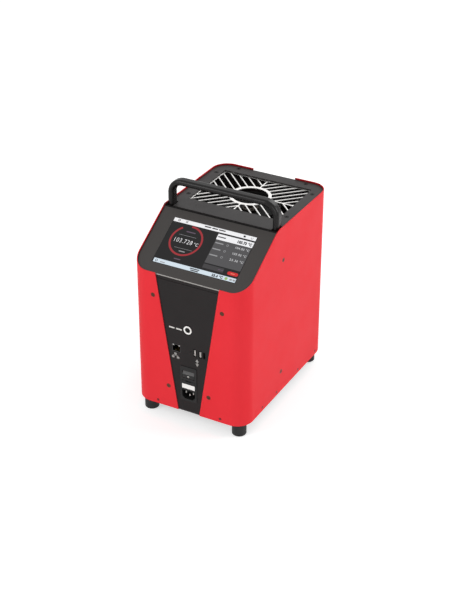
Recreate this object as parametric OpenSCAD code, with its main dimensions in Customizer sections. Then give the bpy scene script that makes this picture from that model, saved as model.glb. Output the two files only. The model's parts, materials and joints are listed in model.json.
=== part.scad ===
// Portable dry block heater: a red sheet casing with a sloped display, a carrying handle,
// a heated well under a guard grille and a mains inlet at the front.
// Millimetres. X runs to the right, Y to the rear and Z up; the feet stand on Z = 0.

/* [Casing] */
// Width over the casing's sides
body_w = 215; // [205:1:235]
// Depth over the casing's front and rear faces
body_d = 308; // [298:1:330]
// Height of the casing's lower edge above the bench
foot_h = 25.8; // [20:0.1:32]
// Height of the flat upper rim
rim_z = 349; // [340:1:370]
// Drop of the rim from its flat part to the front face
console_rise = 68; // [60:1:76]
// Depth of the sloped console, measured along the bench
console_run = 112.6; // [104:0.1:116]
// Radius of the four upright corners
corner_r = 30; // [22:0.5:32]
// Thickness of the casing sheet
case_t = 1.5; // [1.2:0.1:2.5]
// Height by which the rim stands above the plates
rim_proud = 2.8; // [1.2:0.1:4]
// Distance from the casing's side to the front opening at the brow
vee_side = 48; // [44:0.5:54]
// Width of the front opening at the casing's lower edge
vee_low_w = 41.1; // [38:0.1:50]
// Width of the gap between the shells at the rear
rear_gap_w = 82; // [60:1:96]

/* [Plates and frames] */
// Thickness of the front and rear panels
plate_t = 2; // [1.5:0.1:2.5]
// Thickness of the top plate
top_t = 3.2; // [2:0.1:4]
// Thickness of the console panel
console_t = 2.5; // [2:0.1:3]
// Thickness of the base plate
base_t = 2; // [1.5:0.1:3]
// Thickness of the inner side frames, baffle and tabs
frame_t = 1.5; // [1:0.1:2]
// Gap under the sloped console where other pieces seat against it
seat_gap = 0.05; // [0.02:0.01:0.2]
// Gap between the plates and the casing around them
edge_gap = 0.4; // [0.3:0.05:0.8]
// Overlap of the front and rear plates behind the shells
plate_lap = 18; // [15:0.5:20]
// Width of the side frames' flanges under the grille
flange_w = 18; // [15:0.5:20]
// Gap between the side frames' upper flanges and the display module
console_flange_gap = 4; // [2:0.5:8]
// Distance from the side frames' ends to the rounded corners
side_frame_end = 1.5; // [1:0.1:4]
// Height of the console's turned-down lip
lip_h = 6; // [4:0.5:10]
// Outer radius of the bend above the lip
lip_r = 4; // [3:0.5:6]
// Width of the groove between console and top plate
groove_w = 3; // [2:0.1:4]
// Depth of the rear panel's upper flange
rear_flange_d = 16; // [14:0.5:17]
// Length of the slots in the rear panel
vent_l = 60; // [40:1:70]
// Width of the slots in the rear panel
vent_w = 4; // [3:0.5:5]
// Distance between the slots in the rear panel
vent_pitch = 10; // [8:0.5:12]
// Number of slots in the rear panel
vent_count = 9; // [4:1:12]
// Height of the lowest slot above the base plate
vent_z = 60; // [40:1:80]

/* [Grille] */
// Distance from the casing's sides to the opening in the top plate
opening_side = 23; // [21:0.5:28]
// Distance from the handle's middle plane to the opening
opening_front = 28.6; // [26:0.1:32]
// Distance from the rear face to the opening
opening_rear = 25.2; // [24.6:0.1:32]
// Thickness of the grille
grille_t = 2; // [1.5:0.1:3]
// Overlap of the grille under the top plate at its sides
grille_side_lap = 13; // [12:0.5:14]
// Overlap of the grille under the top plate at front and rear
grille_end_lap = 6.5; // [5:0.5:7]
// Distance that the slots run in under the top plate at front and rear
slot_lap = 1; // [0.5:0.1:2]
// Width of the grille's border that shows beside the slots
grille_border = 1.2; // [0.6:0.1:3]
// Inner radius of the ring
ring_in_r = 31; // [28:0.1:33]
// Width of the ring
ring_w = 5.6; // [4:0.1:8]
// Distance between bars along an edge of the opening
bar_pitch = 17.7; // [16.8:0.1:19]
// Width of a bar
bar_w = 2; // [1.6:0.1:4]

/* [Handle] */
// Height of the handle's upper side above the rim
handle_rise = 46; // [40:0.5:60]
// Distance from the groove's rear edge to the handle's middle plane
handle_back = 9.3; // [9:0.1:12]
// Thickness of the flat-oval bar
handle_t = 11; // [8:0.5:12]
// Depth of the flat-oval bar
handle_d = 18; // [14:0.5:19]
// Outer radius of the handle's bends
handle_r = 27; // [22:0.5:32]
// Gap round the handle's legs
leg_gap = 0.5; // [0.4:0.1:1]
// Depth of the legs below the top plate's upper face
leg_sink = 14.7; // [12:0.1:20]
// Thickness of the cross beam under the legs
beam_t = 6; // [4:0.5:8]
// Depth of the cross beam
beam_d = 22; // [20:0.5:24]
// Distance from the cross beam to the baffle behind it
beam_gap = 2; // [1:0.25:6]

/* [Feet and fasteners] */
// Diameter of a foot
foot_dia = 25; // [20:0.5:30]
// Distance from a foot's axis to the casing's faces
foot_in = 21.3; // [18:0.1:24]
// Edge break round a foot
foot_edge = 1.5; // [0.5:0.1:2.5]
// Diameter of the pocket under a foot
foot_pocket_dia = 13; // [12:0.5:15]
// Depth of the pocket under a foot
foot_pocket_h = 12; // [9:0.5:14]
// Shank diameter of the plate and casing screws
screw_dia = 4; // [3:0.1:4.2]
// Head diameter of the plate and casing screws
head_dia = 7.5; // [6.5:0.1:8]
// Height of the flush heads
head_h = 1; // [0.7:0.1:1.1]
// Length of the plate and casing screws
screw_l = 9; // [7:0.5:12]
// Size of the hexagon sockets, across corners
socket_hex = 3.2; // [2:0.1:3.6]
// Gap round a shank in its hole
hole_gap = 0.2; // [0.15:0.05:0.4]
// Shank diameter of the rivets
rivet_dia = 3; // [2.4:0.1:3.2]
// Head diameter of the rivets
rivet_head_dia = 4.6; // [4:0.1:5]
// Length of the rivets
rivet_l = 5.5; // [5:0.1:7]
// Height of the rivets above the base plate
rivet_z = 5; // [4:0.5:9]
// Distance from the front opening to the screws beside it
vee_screw_out = 11.7; // [8:0.1:14]
// Distance from the brow down to the upper front screws
vee_screw_down = 41.6; // [30:0.1:60]
// Height of the lower front screws above the base plate
vee_screw_up = 41; // [25:0.5:60]
// Distance from the ridge back to the screws of the casing's sides
side_screw_back = 20.8; // [10:0.1:40]
// Distance from the rim down to the upper side screws
side_screw_down = 63; // [50:0.5:80]
// Height of the lower side screws above the base plate
side_screw_up = 39.3; // [25:0.1:60]
// Distance from the rear gap to the screws beside it
rear_screw_out = 11; // [8:0.5:13]
// Distance from the rim down to the upper rear screws
rear_screw_down = 55; // [40:0.5:70]
// Height of the lower rear screws above the base plate
rear_screw_up = 43; // [25:0.5:60]
// Distance from the opening's sides to the top plate's side screws
top_screw_out = 9; // [8:0.5:10]
// Distance from the opening's front and rear to the side screws
top_screw_in = 16; // [10:0.5:24]
// Distance from the casing's sides to the top plate's rear screws
rear_top_screw_in = 41.7; // [36:0.1:48]

/* [Display] */
// Width of the display glass
display_w = 155; // [150:0.5:158]
// Height of the display glass along the slope
display_h = 90; // [82:0.5:92]
// Distance from the front face to the display's middle, along the slope
display_s = 67.9; // [64:0.1:70]
// Gap round the display glass
glass_gap = 0.3; // [0.2:0.05:0.5]
// Overlap of the display module behind the console
lcd_lap = 5; // [4:0.5:6]
// Thickness of the display module
lcd_t = 8; // [6:0.5:9]
// Thickness of the circuit boards
board_t = 1.6; // [1.2:0.1:2]
// Height of the standoffs behind the display module
display_post_h = 10; // [8:0.5:11]
// Distance from the glass's sides to the display board's sides
display_board_in = 12; // [8:0.5:16]
// Distance from the display board's edges to its posts
display_post_in = 6; // [5:0.5:8]

/* [Front sockets] */
// Height of the round sensor socket above the base plate
sensor_z = 161.4; // [156:0.1:168]
// Outer diameter of the round socket's ring
sensor_ring_dia = 15.2; // [14.5:0.1:18]
// Bore of the round socket
sensor_bore_dia = 9.8; // [8:0.1:10.4]
// Height of the row of ports above the base plate
port_z = 120.2; // [117:0.1:124]
// Distance of the network jack from the middle
jack_x = 22.8; // [21:0.1:24]
// Width of the network jack
jack_w = 16; // [15:0.1:16.5]
// Height of the network jack
jack_h = 13.6; // [13:0.1:14.5]
// Distance of the first upright port from the middle
port_x = 12.8; // [12:0.1:13.5]
// Distance between the two upright ports
port_pitch = 10.2; // [9.5:0.1:11]
// Distance of the narrow port from the middle
narrow_x = 30.4; // [29.8:0.1:31]
// Width of the narrow port
narrow_w = 3.4; // [3:0.1:3.8]
// Height of the narrow port
narrow_h = 12; // [11:0.1:13]
// Width of an upright port
port_w = 5.8; // [5.4:0.1:6.2]
// Height of an upright port
port_h = 13.2; // [12.5:0.1:14]
// Wall of the ports' shells
port_wall = 0.5; // [0.4:0.05:0.6]
// Distance of the status light from the middle
lamp_x = 4.6; // [4:0.1:5.2]
// Diameter of the status light
lamp_dia = 2; // [1.6:0.1:3]
// Gap round each socket in the front panel
port_gap = 0.3; // [0.2:0.05:0.5]
// Distance from the front panel to the interface board
port_depth = 21; // [20:0.5:24]
// Distance from the network jack to the interface board's edge
iface_side = 11; // [9:0.5:14]
// Distance from the row of ports to the interface board's lower edge
iface_below = 25; // [18:0.5:26]
// Distance from the round socket to the interface board's upper edge
iface_above = 21; // [16:0.5:24]

/* [Mains inlet] */
// Height of the inlet module's middle above the base plate
inlet_z = 55; // [53:0.2:58]
// Width of the module's flange
inlet_w = 31.6; // [30.5:0.1:33]
// Height of the module's flange
inlet_h = 67.6; // [67:0.2:70]
// Thickness of the module's flange
inlet_flange_t = 1; // [0.8:0.05:1.1]
// Width of the module's body
inlet_body_w = 28; // [27.6:0.1:28.8]
// Height of the module's body
inlet_body_h = 64.6; // [63:0.2:66]
// Depth of the module behind the front panel's face
inlet_body_d = 32; // [30:0.5:36]
// Gap round the moving pieces of the module
move_gap = 0.3; // [0.25:0.05:0.5]
// Height of the switch above the module's middle
switch_up = 18.3; // [17.8:0.1:20]
// Width of the switch's rocker
rocker_w = 22; // [20:0.1:22.4]
// Height of the switch's rocker
rocker_h = 13.4; // [12.5:0.1:14]
// Lean of the rocker to each side
rocker_lean = 10; // [6:0.5:12]
// Diameter of the rocker's axle
axle_dia = 3; // [2.4:0.1:3.4]
// Gap round the rocker's axle
axle_gap = 0.05; // [0.02:0.01:0.08]
// Height of the fuse drawer above the module's middle
drawer_up = -1.5; // [-2:0.1:-1]
// Width of the fuse drawer
drawer_w = 25; // [23:0.1:25.6]
// Height of the fuse drawer
drawer_h = 15.4; // [13.5:0.1:16]
// Height by which the fuse drawer stands out of the flange
drawer_proud = 0.25; // [0.1:0.05:0.3]
// Length of the fuse drawer
drawer_l = 28; // [26:0.5:29]
// Diameter of a fuse
fuse_dia = 5; // [4.6:0.1:5.4]
// Length of a fuse
fuse_l = 20; // [18:0.5:21]
// Distance of the inlet's middle below the module's middle
plug_down = 21.5; // [20.8:0.1:22]
// Width of the inlet's recess
plug_w = 25; // [23.6:0.1:25.4]
// Height of the inlet's recess
plug_h = 17.4; // [16:0.1:18]
// Depth of the inlet's recess
plug_depth = 17; // [15:0.5:18]
// Corner cut of the inlet's recess
plug_cut = 5; // [3.5:0.1:5.5]
// Length of a blade inside the recess
blade_l = 12.5; // [9:0.5:13]

/* [Heated block] */
// Height of the deck that carries the block, above the base plate
deck_z = 73; // [70:1:80]
// Radius of the block
block_r = 30; // [28:0.5:32]
// Distance from the insulation's top down to the block's top
block_below = 4; // [2:0.5:8]
// Height of the standoffs under the block
block_post_h = 28; // [24:1:32]
// Radius of the well
well_r = 14.5; // [13:0.1:15]
// Thickness of the block under the well
well_floor = 33; // [25:1:40]
// Gap between the well and the adapter sleeve
sleeve_gap = 0.35; // [0.25:0.05:0.6]
// Height by which the adapter sleeve stands out of the block
sleeve_rise = 11; // [8:0.5:12]
// Radius of the middle bore in the sleeve
probe_r = 4.5; // [3.5:0.1:5]
// Thickness of the sleeve under its bores
probe_floor = 26; // [15:1:30]
// Radius of the side bores in the sleeve
side_probe_r = 2; // [1.5:0.1:2.2]
// Radius of the circle on which the side bores lie
side_probe_pcr = 9.2; // [8.8:0.1:9.6]
// Radius of a heater cartridge
heater_r = 5; // [4:0.1:5.4]
// Thickness of the block above a heater cartridge
heater_cover = 36; // [25:1:45]
// Length of a heater cartridge below the block
heater_out = 18; // [10:1:22]
// Radius of the circle on which the heaters lie
heater_pcr = 22.3; // [22:0.1:22.6]
// Thickness of the block above the reference sensor
sensor_cover = 78; // [60:1:90]
// Length of the reference sensor below the block
sensor_out = 20; // [10:1:24]
// Distance from the heat shield's rim down to the insulation's top
wool_below = 11; // [8:0.5:14]
// Outer radius of the insulation
wool_r = 50; // [46:0.5:52]
// Distance from the heat shield's rim to the grille
shield_gap = 15.7; // [12:0.1:20]

/* [Fan] */
// Side of the fan's frame
fan_w = 119; // [116:0.5:120]
// Depth of the fan's frame
fan_h = 38; // [32:1:40]
// Distance from the frame's sides to the fan's screws
fan_screw_in = 7; // [6.5:0.5:8]
// Wall between the duct and the frame's sides
duct_wall = 2.5; // [1.5:0.1:3]
// Gap between the blades and the duct
blade_gap = 1.2; // [0.8:0.1:2]
// Radius of the rotor's hub
hub_r = 21; // [18:0.5:24]
// Number of blades
blade_count = 7; // [5:1:9]
// Pitch angle of the blades
blade_pitch = 40; // [30:1:50]
// Thickness of the finger guard
guard_t = 1.2; // [1:0.1:2]
// Width of the finger guard's rings
guard_w = 2; // [1.5:0.1:3]
// Number of the finger guard's rings
guard_rings = 6; // [4:1:7]

/* [Electronics] */
// Height of the posts under the power board
power_post_h = 8; // [6:0.5:10]
// Distance from the casing's sides to the power board
power_side = 32.5; // [30:0.5:40]
// Distance from the front panel to the power board
power_front = 8; // [6:0.5:10]
// Distance from the power board to the baffle
power_rear = 10; // [8:0.1:16]
// Distance from the power board's sides to the middle of its heavy pieces
heavy_in = 26; // [24:0.5:30]
// Width of the line filter
filter_w = 44; // [36:1:46]
// Depth of the line filter
filter_d = 56; // [40:1:64]
// Height of the line filter
filter_h = 32; // [24:1:40]
// Width of the transformer's core
core_w = 28; // [20:1:34]
// Depth of the transformer's core
core_d = 60; // [50:1:70]
// Height of the transformer's core
core_h = 44; // [36:1:50]
// Width of the transformer's winding
coil_w = 46; // [38:1:48]
// Depth of the transformer's winding
coil_d = 48; // [40:1:50]
// Height of the transformer's winding
coil_h = 26; // [20:1:32]
// Height of the heat sink above the base plate
sink_up = 75; // [70:1:90]
// Width of the heat sink
sink_w = 80; // [70:1:90]
// Height of the heat sink
sink_h = 90; // [80:1:100]
// Length of the heat sink's fins
sink_fin = 30; // [24:1:32]
// Number of the heat sink's fins
sink_fins = 9; // [7:1:11]
// Width of the relay on the heat sink
relay_w = 44; // [38:1:46]
// Height of the relay
relay_h = 58; // [50:1:62]
// Depth of the relay
relay_d = 22; // [18:1:26]

/* [Hidden] */
$fn = 64;
eps = 0.01;
far = 400;

front_y = -body_d / 2;
rear_y = body_d / 2;
ridge_y = front_y + console_run;
brow_z = rim_z - console_rise;
slope = atan(console_rise / console_run);
vee_top_w = body_w - 2 * vee_side;
in_x = body_w / 2 - case_t;
in_front = front_y + case_t;
in_rear = rear_y - case_t;
frame_x = in_x - frame_t;
base_top = foot_h + base_t;
plate_top = rim_z - rim_proud;
plate_low = plate_top - top_t;
flange_top = plate_low - grille_t;
console_drop = console_t / cos(slope);
frame_drop = console_drop + seat_gap;
lcd_face = -console_t - seat_gap;
lcd_back = lcd_face - lcd_t;
hole_dia = screw_dia + 2 * hole_gap;
recess_dia = head_dia + 2 * hole_gap;
rivet_hole_dia = rivet_dia + 2 * hole_gap;

// Upper edge of the front panel, just under the console's lip
lip_y = in_front + edge_gap;
lip_low_z = console_z(lip_y) - lip_h;
front_panel_top = lip_low_z - edge_gap;

// Handle
handle_y = ridge_y + groove_w + handle_back;
handle_top = rim_z + handle_rise;
handle_x = frame_x - leg_gap - handle_t / 2;
bend_r = handle_r - handle_t / 2;
bar_z = handle_top - handle_t / 2;
beam_top = plate_top - leg_sink;
handle_screw_dia = 6;
handle_screw_grip = 18;

// Opening over the grille and the axis of the well in its middle
opening_w = body_w - 2 * opening_side;
opening_low_y = handle_y + opening_front;
opening_high_y = rear_y - opening_rear;
opening_d = opening_high_y - opening_low_y;
heat_y = (opening_low_y + opening_high_y) / 2;
ring_out_r = ring_in_r + ring_w;

// Baffle between the cold half and the hot half
baffle_front = handle_y + beam_d / 2 + beam_gap;
baffle_rear = baffle_front + frame_t;
deck_top = base_top + deck_z + base_t;
deck_end = 24.6;
deck_rear = rear_y - deck_end;
air_gap = 4;
air_slot = 10;
air_in_r = wool_r + air_gap;
air_out_r = air_in_r + air_slot;

// Side frames
side_frame_l = body_d - 2 * corner_r - 2 * side_frame_end;
console_flange_w = in_x - display_w / 2 - lcd_lap - console_flange_gap;

// Screws and rivets
vee_screw_z = [brow_z - vee_screw_down, base_top + vee_screw_up];
side_screw_y = ridge_y + side_screw_back;
side_screw_z = [rim_z - side_screw_down, base_top + side_screw_up];
rear_screw_z = [rim_z - rear_screw_down, base_top + rear_screw_up];
rear_top_screw_x = body_w / 2 - rear_top_screw_in;
rivet_share = [-0.362, -0.145, 0.194, 0.48];
tab_w = 20;
tab_h = 16;
tab_end = 6.7;
tab_x = body_w / 2 - corner_r - tab_end - tab_w / 2;

// Inlet module
inlet_mid = base_top + inlet_z;
switch_z = inlet_mid + switch_up;
drawer_z = inlet_mid + drawer_up;
plug_z = inlet_mid - plug_down;
inlet_face = in_front - inlet_flange_t;
pivot_y = in_front + 2;
rocker_ridge = 3.4;
rocker_end = rocker_ridge - rocker_h / 2 * tan(rocker_lean);
rocker_back = 4;
rocker_room_w = rocker_w + 2 * move_gap;
rocker_room_h = rocker_h * cos(rocker_lean) + 2 * rocker_end * sin(rocker_lean) + 2 * move_gap;
axle_l = rocker_room_w + 3;
drawer_face = inlet_face - drawer_proud;

// Front sockets
socket_z = base_top + sensor_z;
ports_z = base_top + port_z;
panel_back = in_front + plate_t;
iface_y = panel_back + port_depth;
iface_w = 2 * (jack_x + jack_w / 2 + iface_side);
iface_low = ports_z - iface_below;
iface_high = socket_z + iface_above;

// Heated block
shield_h = flange_top - shield_gap - deck_top;
wool_h = shield_h - wool_below;
block_low = deck_top + block_post_h;
block_top = deck_top + wool_h - block_below;
well_low = block_low + well_floor;
sleeve_r = well_r - sleeve_gap;
sleeve_low = well_low + sleeve_gap;
sleeve_top = block_top + sleeve_rise;
bore_low = sleeve_low + probe_floor;
heater_top = block_top - heater_cover;
sensor_top = block_top - sensor_cover;
wool_gap = 1;
shield_t = 1.5;
collar_t = 2;
sensor_r = 2;
sensor_angle = 22.5;

// Fan
fan_pitch = fan_w - 2 * fan_screw_in;
duct_r = fan_w / 2 - duct_wall;
hub_h = 24;
hub_low = base_top + 7;
boss_low = hub_low + hub_h + 0.6;
fan_top = base_top + fan_h;
shaft_r = 2;
shaft_gap = 0.05;
fan_screw_dia = 4;

// Electronics
power_low = base_top + power_post_h;
power_top = power_low + board_t;
power_w = body_w - 2 * power_side;
power_low_y = panel_back + power_front;
power_high_y = baffle_front - power_rear;
power_d = power_high_y - power_low_y;
power_mid_y = (power_low_y + power_high_y) / 2;
sink_plate = 6;
sink_low = base_top + sink_up;
sink_root = baffle_front - sink_plate;
heavy_x = power_w / 2 - heavy_in;
post_dia = 6;
post_in = 5;

// Height of the console's upper face at a place along Y
function console_z(y) = brow_z - rim_proud + (y - front_y) * tan(slope);

// Half width of the front opening at a height
function vee_half(z) =
    (vee_low_w + (vee_top_w - vee_low_w) * (z - foot_h) / (brow_z - foot_h)) / 2;

// Rounded rectangle around the origin
module round_rect(w, d, r) {
    square([w - 2 * r, d], center = true);
    square([w, d - 2 * r], center = true);
    for (sx = [-1, 1], sy = [-1, 1]) {
        translate([sx * (w / 2 - r), sy * (d / 2 - r)]) circle(r);
    }
}

// Plan of the casing, drawn in by an inset
module plan(inset) {
    round_rect(body_w - 2 * inset, body_d - 2 * inset, corner_r - inset);
}

// Draws a YZ outline along X, from x0 to x1
module along_x(x0, x1) {
    translate([x0, 0, 0]) rotate([90, 0, 90]) linear_extrude(x1 - x0) children();
}

// Draws an XZ outline along Y, from y0 to y1
module along_y(y0, y1) {
    translate([0, y1, 0]) rotate([90, 0, 0]) linear_extrude(y1 - y0) children();
}

// Box from one corner to the opposite one
module box(low, high) {
    translate(low) cube(high - low);
}

// Places children on the console's upper face: X across, Y up the slope, Z out of it
module on_console() {
    translate([0, front_y, brow_z - rim_proud]) rotate([slope, 0, 0]) children();
}

// Places children at the four corners of a rectangle
module at_corners(w, d) {
    for (sx = [-1, 1], sy = [-1, 1]) {
        translate([sx * w / 2, sy * d / 2, 0]) children();
    }
}

// Screw whose flush head has its face at Z = 0 and whose shank points down
module flush_screw(l = screw_l) {
    difference() {
        union() {
            translate([0, 0, -head_h]) cylinder(h = head_h, d = head_dia);
            translate([0, 0, -l]) cylinder(h = l - head_h, d = screw_dia);
        }
        translate([0, 0, -head_h * 0.7]) cylinder(h = head_h, d = socket_hex, $fn = 6);
    }
}

// Hole and recess for a flush screw
module flush_hole() {
    translate([0, 0, -screw_l - 5]) cylinder(h = screw_l + 10, d = hole_dia);
    translate([0, 0, -head_h]) cylinder(h = head_h + 5, d = recess_dia);
}

// Rivet whose flush head has its face at Z = 0 and whose shank points down
module flush_rivet() {
    translate([0, 0, -head_h]) cylinder(h = head_h, d = rivet_head_dia);
    translate([0, 0, -rivet_l]) cylinder(h = rivet_l - head_h, d = rivet_dia);
}

// Hole and recess for a rivet
module rivet_hole() {
    translate([0, 0, -rivet_l - 5]) cylinder(h = rivet_l + 10, d = rivet_hole_dia);
    translate([0, 0, -head_h]) cylinder(h = head_h + 5, d = rivet_head_dia + 2 * hole_gap);
}

// Places children at the screws of the front flanges, facing the front
module at_vee_screws() {
    for (sx = [-1, 1], z = vee_screw_z) {
        translate([sx * (vee_half(z) + vee_screw_out), front_y, z]) rotate([90, 0, 0]) children();
    }
}

// Places children at the screws of the casing's sides, facing outwards
module at_side_screws() {
    for (sx = [-1, 1], z = side_screw_z) {
        translate([sx * body_w / 2, side_screw_y, z]) rotate([0, sx * 90, 0]) children();
    }
}

// Places children at the screws of the rear flanges, facing the rear
module at_rear_screws() {
    for (sx = [-1, 1], z = rear_screw_z) {
        translate([sx * (rear_gap_w / 2 + rear_screw_out), rear_y, z])
            rotate([-90, 0, 0]) children();
    }
}

// Places children at the top plate's screws, facing up
module at_side_top_screws() {
    translate([0, heat_y, plate_top])
        at_corners(opening_w + 2 * top_screw_out, opening_d - 2 * top_screw_in) children();
}

module at_rear_top_screws() {
    for (sx = [-1, 1]) {
        translate([sx * rear_top_screw_x, in_rear - rear_flange_d / 2, plate_top]) children();
    }
}

// Places children at the rivets along the lower edge, facing outwards
module at_rivets() {
    for (sx = [-1, 1]) {
        for (share = rivet_share) {
            translate([sx * body_w / 2, share * side_frame_l, base_top + rivet_z])
                rotate([0, sx * 90, 0]) children();
        }
        translate([sx * tab_x, front_y, base_top + rivet_z]) rotate([90, 0, 0]) children();
    }
}

// Both casing shells: an upright wall cut by the roof line, the front opening and the rear gap
module case_wall() {
    difference() {
        translate([0, 0, foot_h]) linear_extrude(rim_z - foot_h) difference() {
            plan(0);
            plan(case_t);
        }
        along_x(-far, far) polygon([
            [front_y - 10, brow_z - 10 * tan(slope)],
            [ridge_y, rim_z],
            [ridge_y, rim_z + 10],
            [front_y - 10, rim_z + 10]
        ]);
        along_y(front_y - 5, in_front + 5) polygon([
            [-vee_half(foot_h - 5), foot_h - 5],
            [vee_half(foot_h - 5), foot_h - 5],
            [vee_half(brow_z + 10), brow_z + 10],
            [-vee_half(brow_z + 10), brow_z + 10]
        ]);
        box([-rear_gap_w / 2, in_rear - 5, foot_h - 5], [rear_gap_w / 2, rear_y + 5, rim_z + 5]);
        at_vee_screws() flush_hole();
        at_side_screws() flush_hole();
        at_rear_screws() flush_hole();
        at_rivets() rivet_hole();
    }
}

module left_case_shell() {
    color("#E5282C") intersection() {
        case_wall();
        box([-far, -far, 0], [0, far, far + rim_z]);
    }
}

module right_case_shell() {
    color("#E5282C") intersection() {
        case_wall();
        box([0, -far, 0], [far, far, far + rim_z]);
    }
}

// Base plate with a tab for each front rivet
module base_plate() {
    color("#3A3A3C") difference() {
        union() {
            translate([0, 0, foot_h]) linear_extrude(base_t) plan(case_t + edge_gap);
            for (sx = [-1, 1]) {
                translate([sx * tab_x, in_front + frame_t / 2, base_top + tab_h / 2])
                    cube([tab_w, frame_t, tab_h], center = true);
                translate([sx * tab_x, in_front + frame_t / 2, foot_h + base_t / 2])
                    cube([tab_w, frame_t, base_t], center = true);
            }
        }
        translate([0, heat_y, foot_h - 1]) cylinder(h = base_t + 2, r = duct_r - 1, $fn = 96);
        translate([0, heat_y, foot_h - 1]) at_corners(fan_pitch, fan_pitch)
            cylinder(h = base_t + 2, d = fan_screw_dia + 2 * hole_gap);
        at_feet() translate([0, 0, foot_h - 1]) cylinder(h = base_t + 2, d = foot_hole_dia());
        at_rivets() rivet_hole();
    }
}

// Outline of the front panel
module front_outline() {
    low = vee_half(base_top) + plate_lap;
    high = vee_half(front_panel_top) + plate_lap;
    polygon([
        [-low, base_top],
        [low, base_top],
        [high, front_panel_top],
        [-high, front_panel_top]
    ]);
}

// Front panel behind the shells' flanges, cut for the sockets and the inlet
module front_panel() {
    g = 2 * port_gap;
    color("#2E2A2A") difference() {
        along_y(in_front, panel_back) front_outline();
        along_y(in_front - 1, panel_back + 1) {
            translate([0, socket_z]) circle(d = sensor_shell_dia() + g);
            translate([-jack_x, ports_z]) square([jack_w + g, jack_h + g], center = true);
            port_outlines(port_gap);
            translate([lamp_x, ports_z]) circle(d = lamp_dia + g);
            translate([0, inlet_mid]) square([inlet_body_w + g, inlet_body_h + g], center = true);
        }
        at_vee_screws() flush_hole();
    }
}

// Rear panel with its upper flange and air slots
module rear_panel() {
    half = rear_gap_w / 2 + plate_lap;
    flange_half = rear_top_screw_x + head_dia;
    color("#2E2A2A") difference() {
        union() {
            box([-half, in_rear - plate_t, base_top], [half, in_rear, plate_low]);
            box([-flange_half, in_rear - rear_flange_d, plate_low - frame_t],
                [flange_half, in_rear - plate_t + eps, plate_low]);
        }
        along_y(in_rear - rear_flange_d, in_rear + 1) for (i = [0:vent_count - 1]) {
            translate([0, base_top + vent_z + i * vent_pitch]) slot(vent_l, vent_w);
        }
        at_rear_screws() flush_hole();
        at_rear_top_screws() flush_hole();
    }
}

// Slot with round ends
module slot(l, w) {
    square([l - w, w], center = true);
    for (s = [-1, 1]) {
        translate([s * (l - w) / 2, 0]) circle(d = w);
    }
}

// Side view of the console sheet: the slope, the lip and the bend between them
module console_profile() {
    corner = [lip_y, console_z(lip_y)];
    reach = lip_r / tan((90 + slope) / 2);
    up_slope = [cos(slope), sin(slope)];
    bend = corner + [lip_r, -reach];
    lip_back = lip_y + console_t;
    difference() {
        polygon([
            corner,
            [ridge_y, plate_top],
            [ridge_y, plate_top - console_drop],
            [lip_back, console_z(lip_back) - console_drop],
            [lip_back, lip_low_z],
            [lip_y, lip_low_z]
        ]);
        difference() {
            polygon([corner, corner + up_slope * reach, bend, corner - [0, reach]]);
            translate(bend) circle(lip_r);
        }
    }
}

// Sloped console panel with the window for the display
module console_panel() {
    color("#3E3C3C") difference() {
        intersection() {
            along_x(-in_x, in_x) console_profile();
            linear_extrude(rim_z) plan(case_t + edge_gap);
        }
        on_console() translate([0, display_s, 0])
            cube([display_w + 2 * glass_gap, display_h + 2 * glass_gap, 6 * console_t], center = true);
    }
}

// Top plate with the opening over the grille and corner notches for the handle's legs
module top_plate() {
    notch_x = handle_x - handle_t / 2 - leg_gap;
    notch_y = handle_y + handle_d / 2 + leg_gap;
    color("#4A4848") difference() {
        translate([0, 0, plate_low]) linear_extrude(top_t) difference() {
            plan(case_t + edge_gap);
            translate([-far, ridge_y + groove_w - far]) square([2 * far, far]);
            translate([0, heat_y]) square([opening_w, opening_d], center = true);
            for (sx = [-1, 1]) {
                translate([sx * (notch_x + far / 2), notch_y - far / 2]) square(far, center = true);
            }
        }
        at_side_top_screws() flush_hole();
        at_rear_top_screws() flush_hole();
    }
}

// Slanted bars of one quarter of the grille, before trimming
module quarter_bars() {
    count = ceil((opening_w + opening_d) / bar_pitch / 2);
    for (i = [-count:count]) {
        translate([(i + 0.5) * bar_pitch, 0]) rotate(45)
            translate([-far / 2, -bar_w / 2]) square([far, bar_w]);
    }
}

// Guard grille: a sheet with a ring in the middle and bars that slant out of it in four quarters
module guard_grille() {
    half_w = opening_w / 2 - grille_border;
    half_d = opening_d / 2 + slot_lap;
    color("#DEDAD6") difference() {
        translate([0, heat_y, plate_low - grille_t]) linear_extrude(grille_t) difference() {
            union() {
                difference() {
                    square([opening_w + 2 * grille_side_lap, opening_d + 2 * grille_end_lap],
                        center = true);
                    square([2 * half_w, 2 * half_d], center = true);
                }
                for (mx = [0, 1], my = [0, 1]) {
                    mirror([mx, 0]) mirror([0, my]) intersection() {
                        square([half_w + eps, half_d + eps]);
                        quarter_bars();
                    }
                }
                square([2 * half_w + 2 * eps, bar_w], center = true);
                square([bar_w, 2 * half_d + 2 * eps], center = true);
                circle(ring_out_r, $fn = 96);
            }
            circle(ring_in_r, $fn = 96);
        }
        at_side_top_screws() flush_hole();
    }
}

// Side view of an inner side frame
module side_frame_profile() {
    back = side_frame_l / 2;
    polygon([
        [-back, base_top],
        [-back, console_z(-back) - frame_drop],
        [ridge_y, plate_top - frame_drop],
        [ridge_y, flange_top],
        [back, flange_top],
        [back, base_top]
    ]);
}

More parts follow.
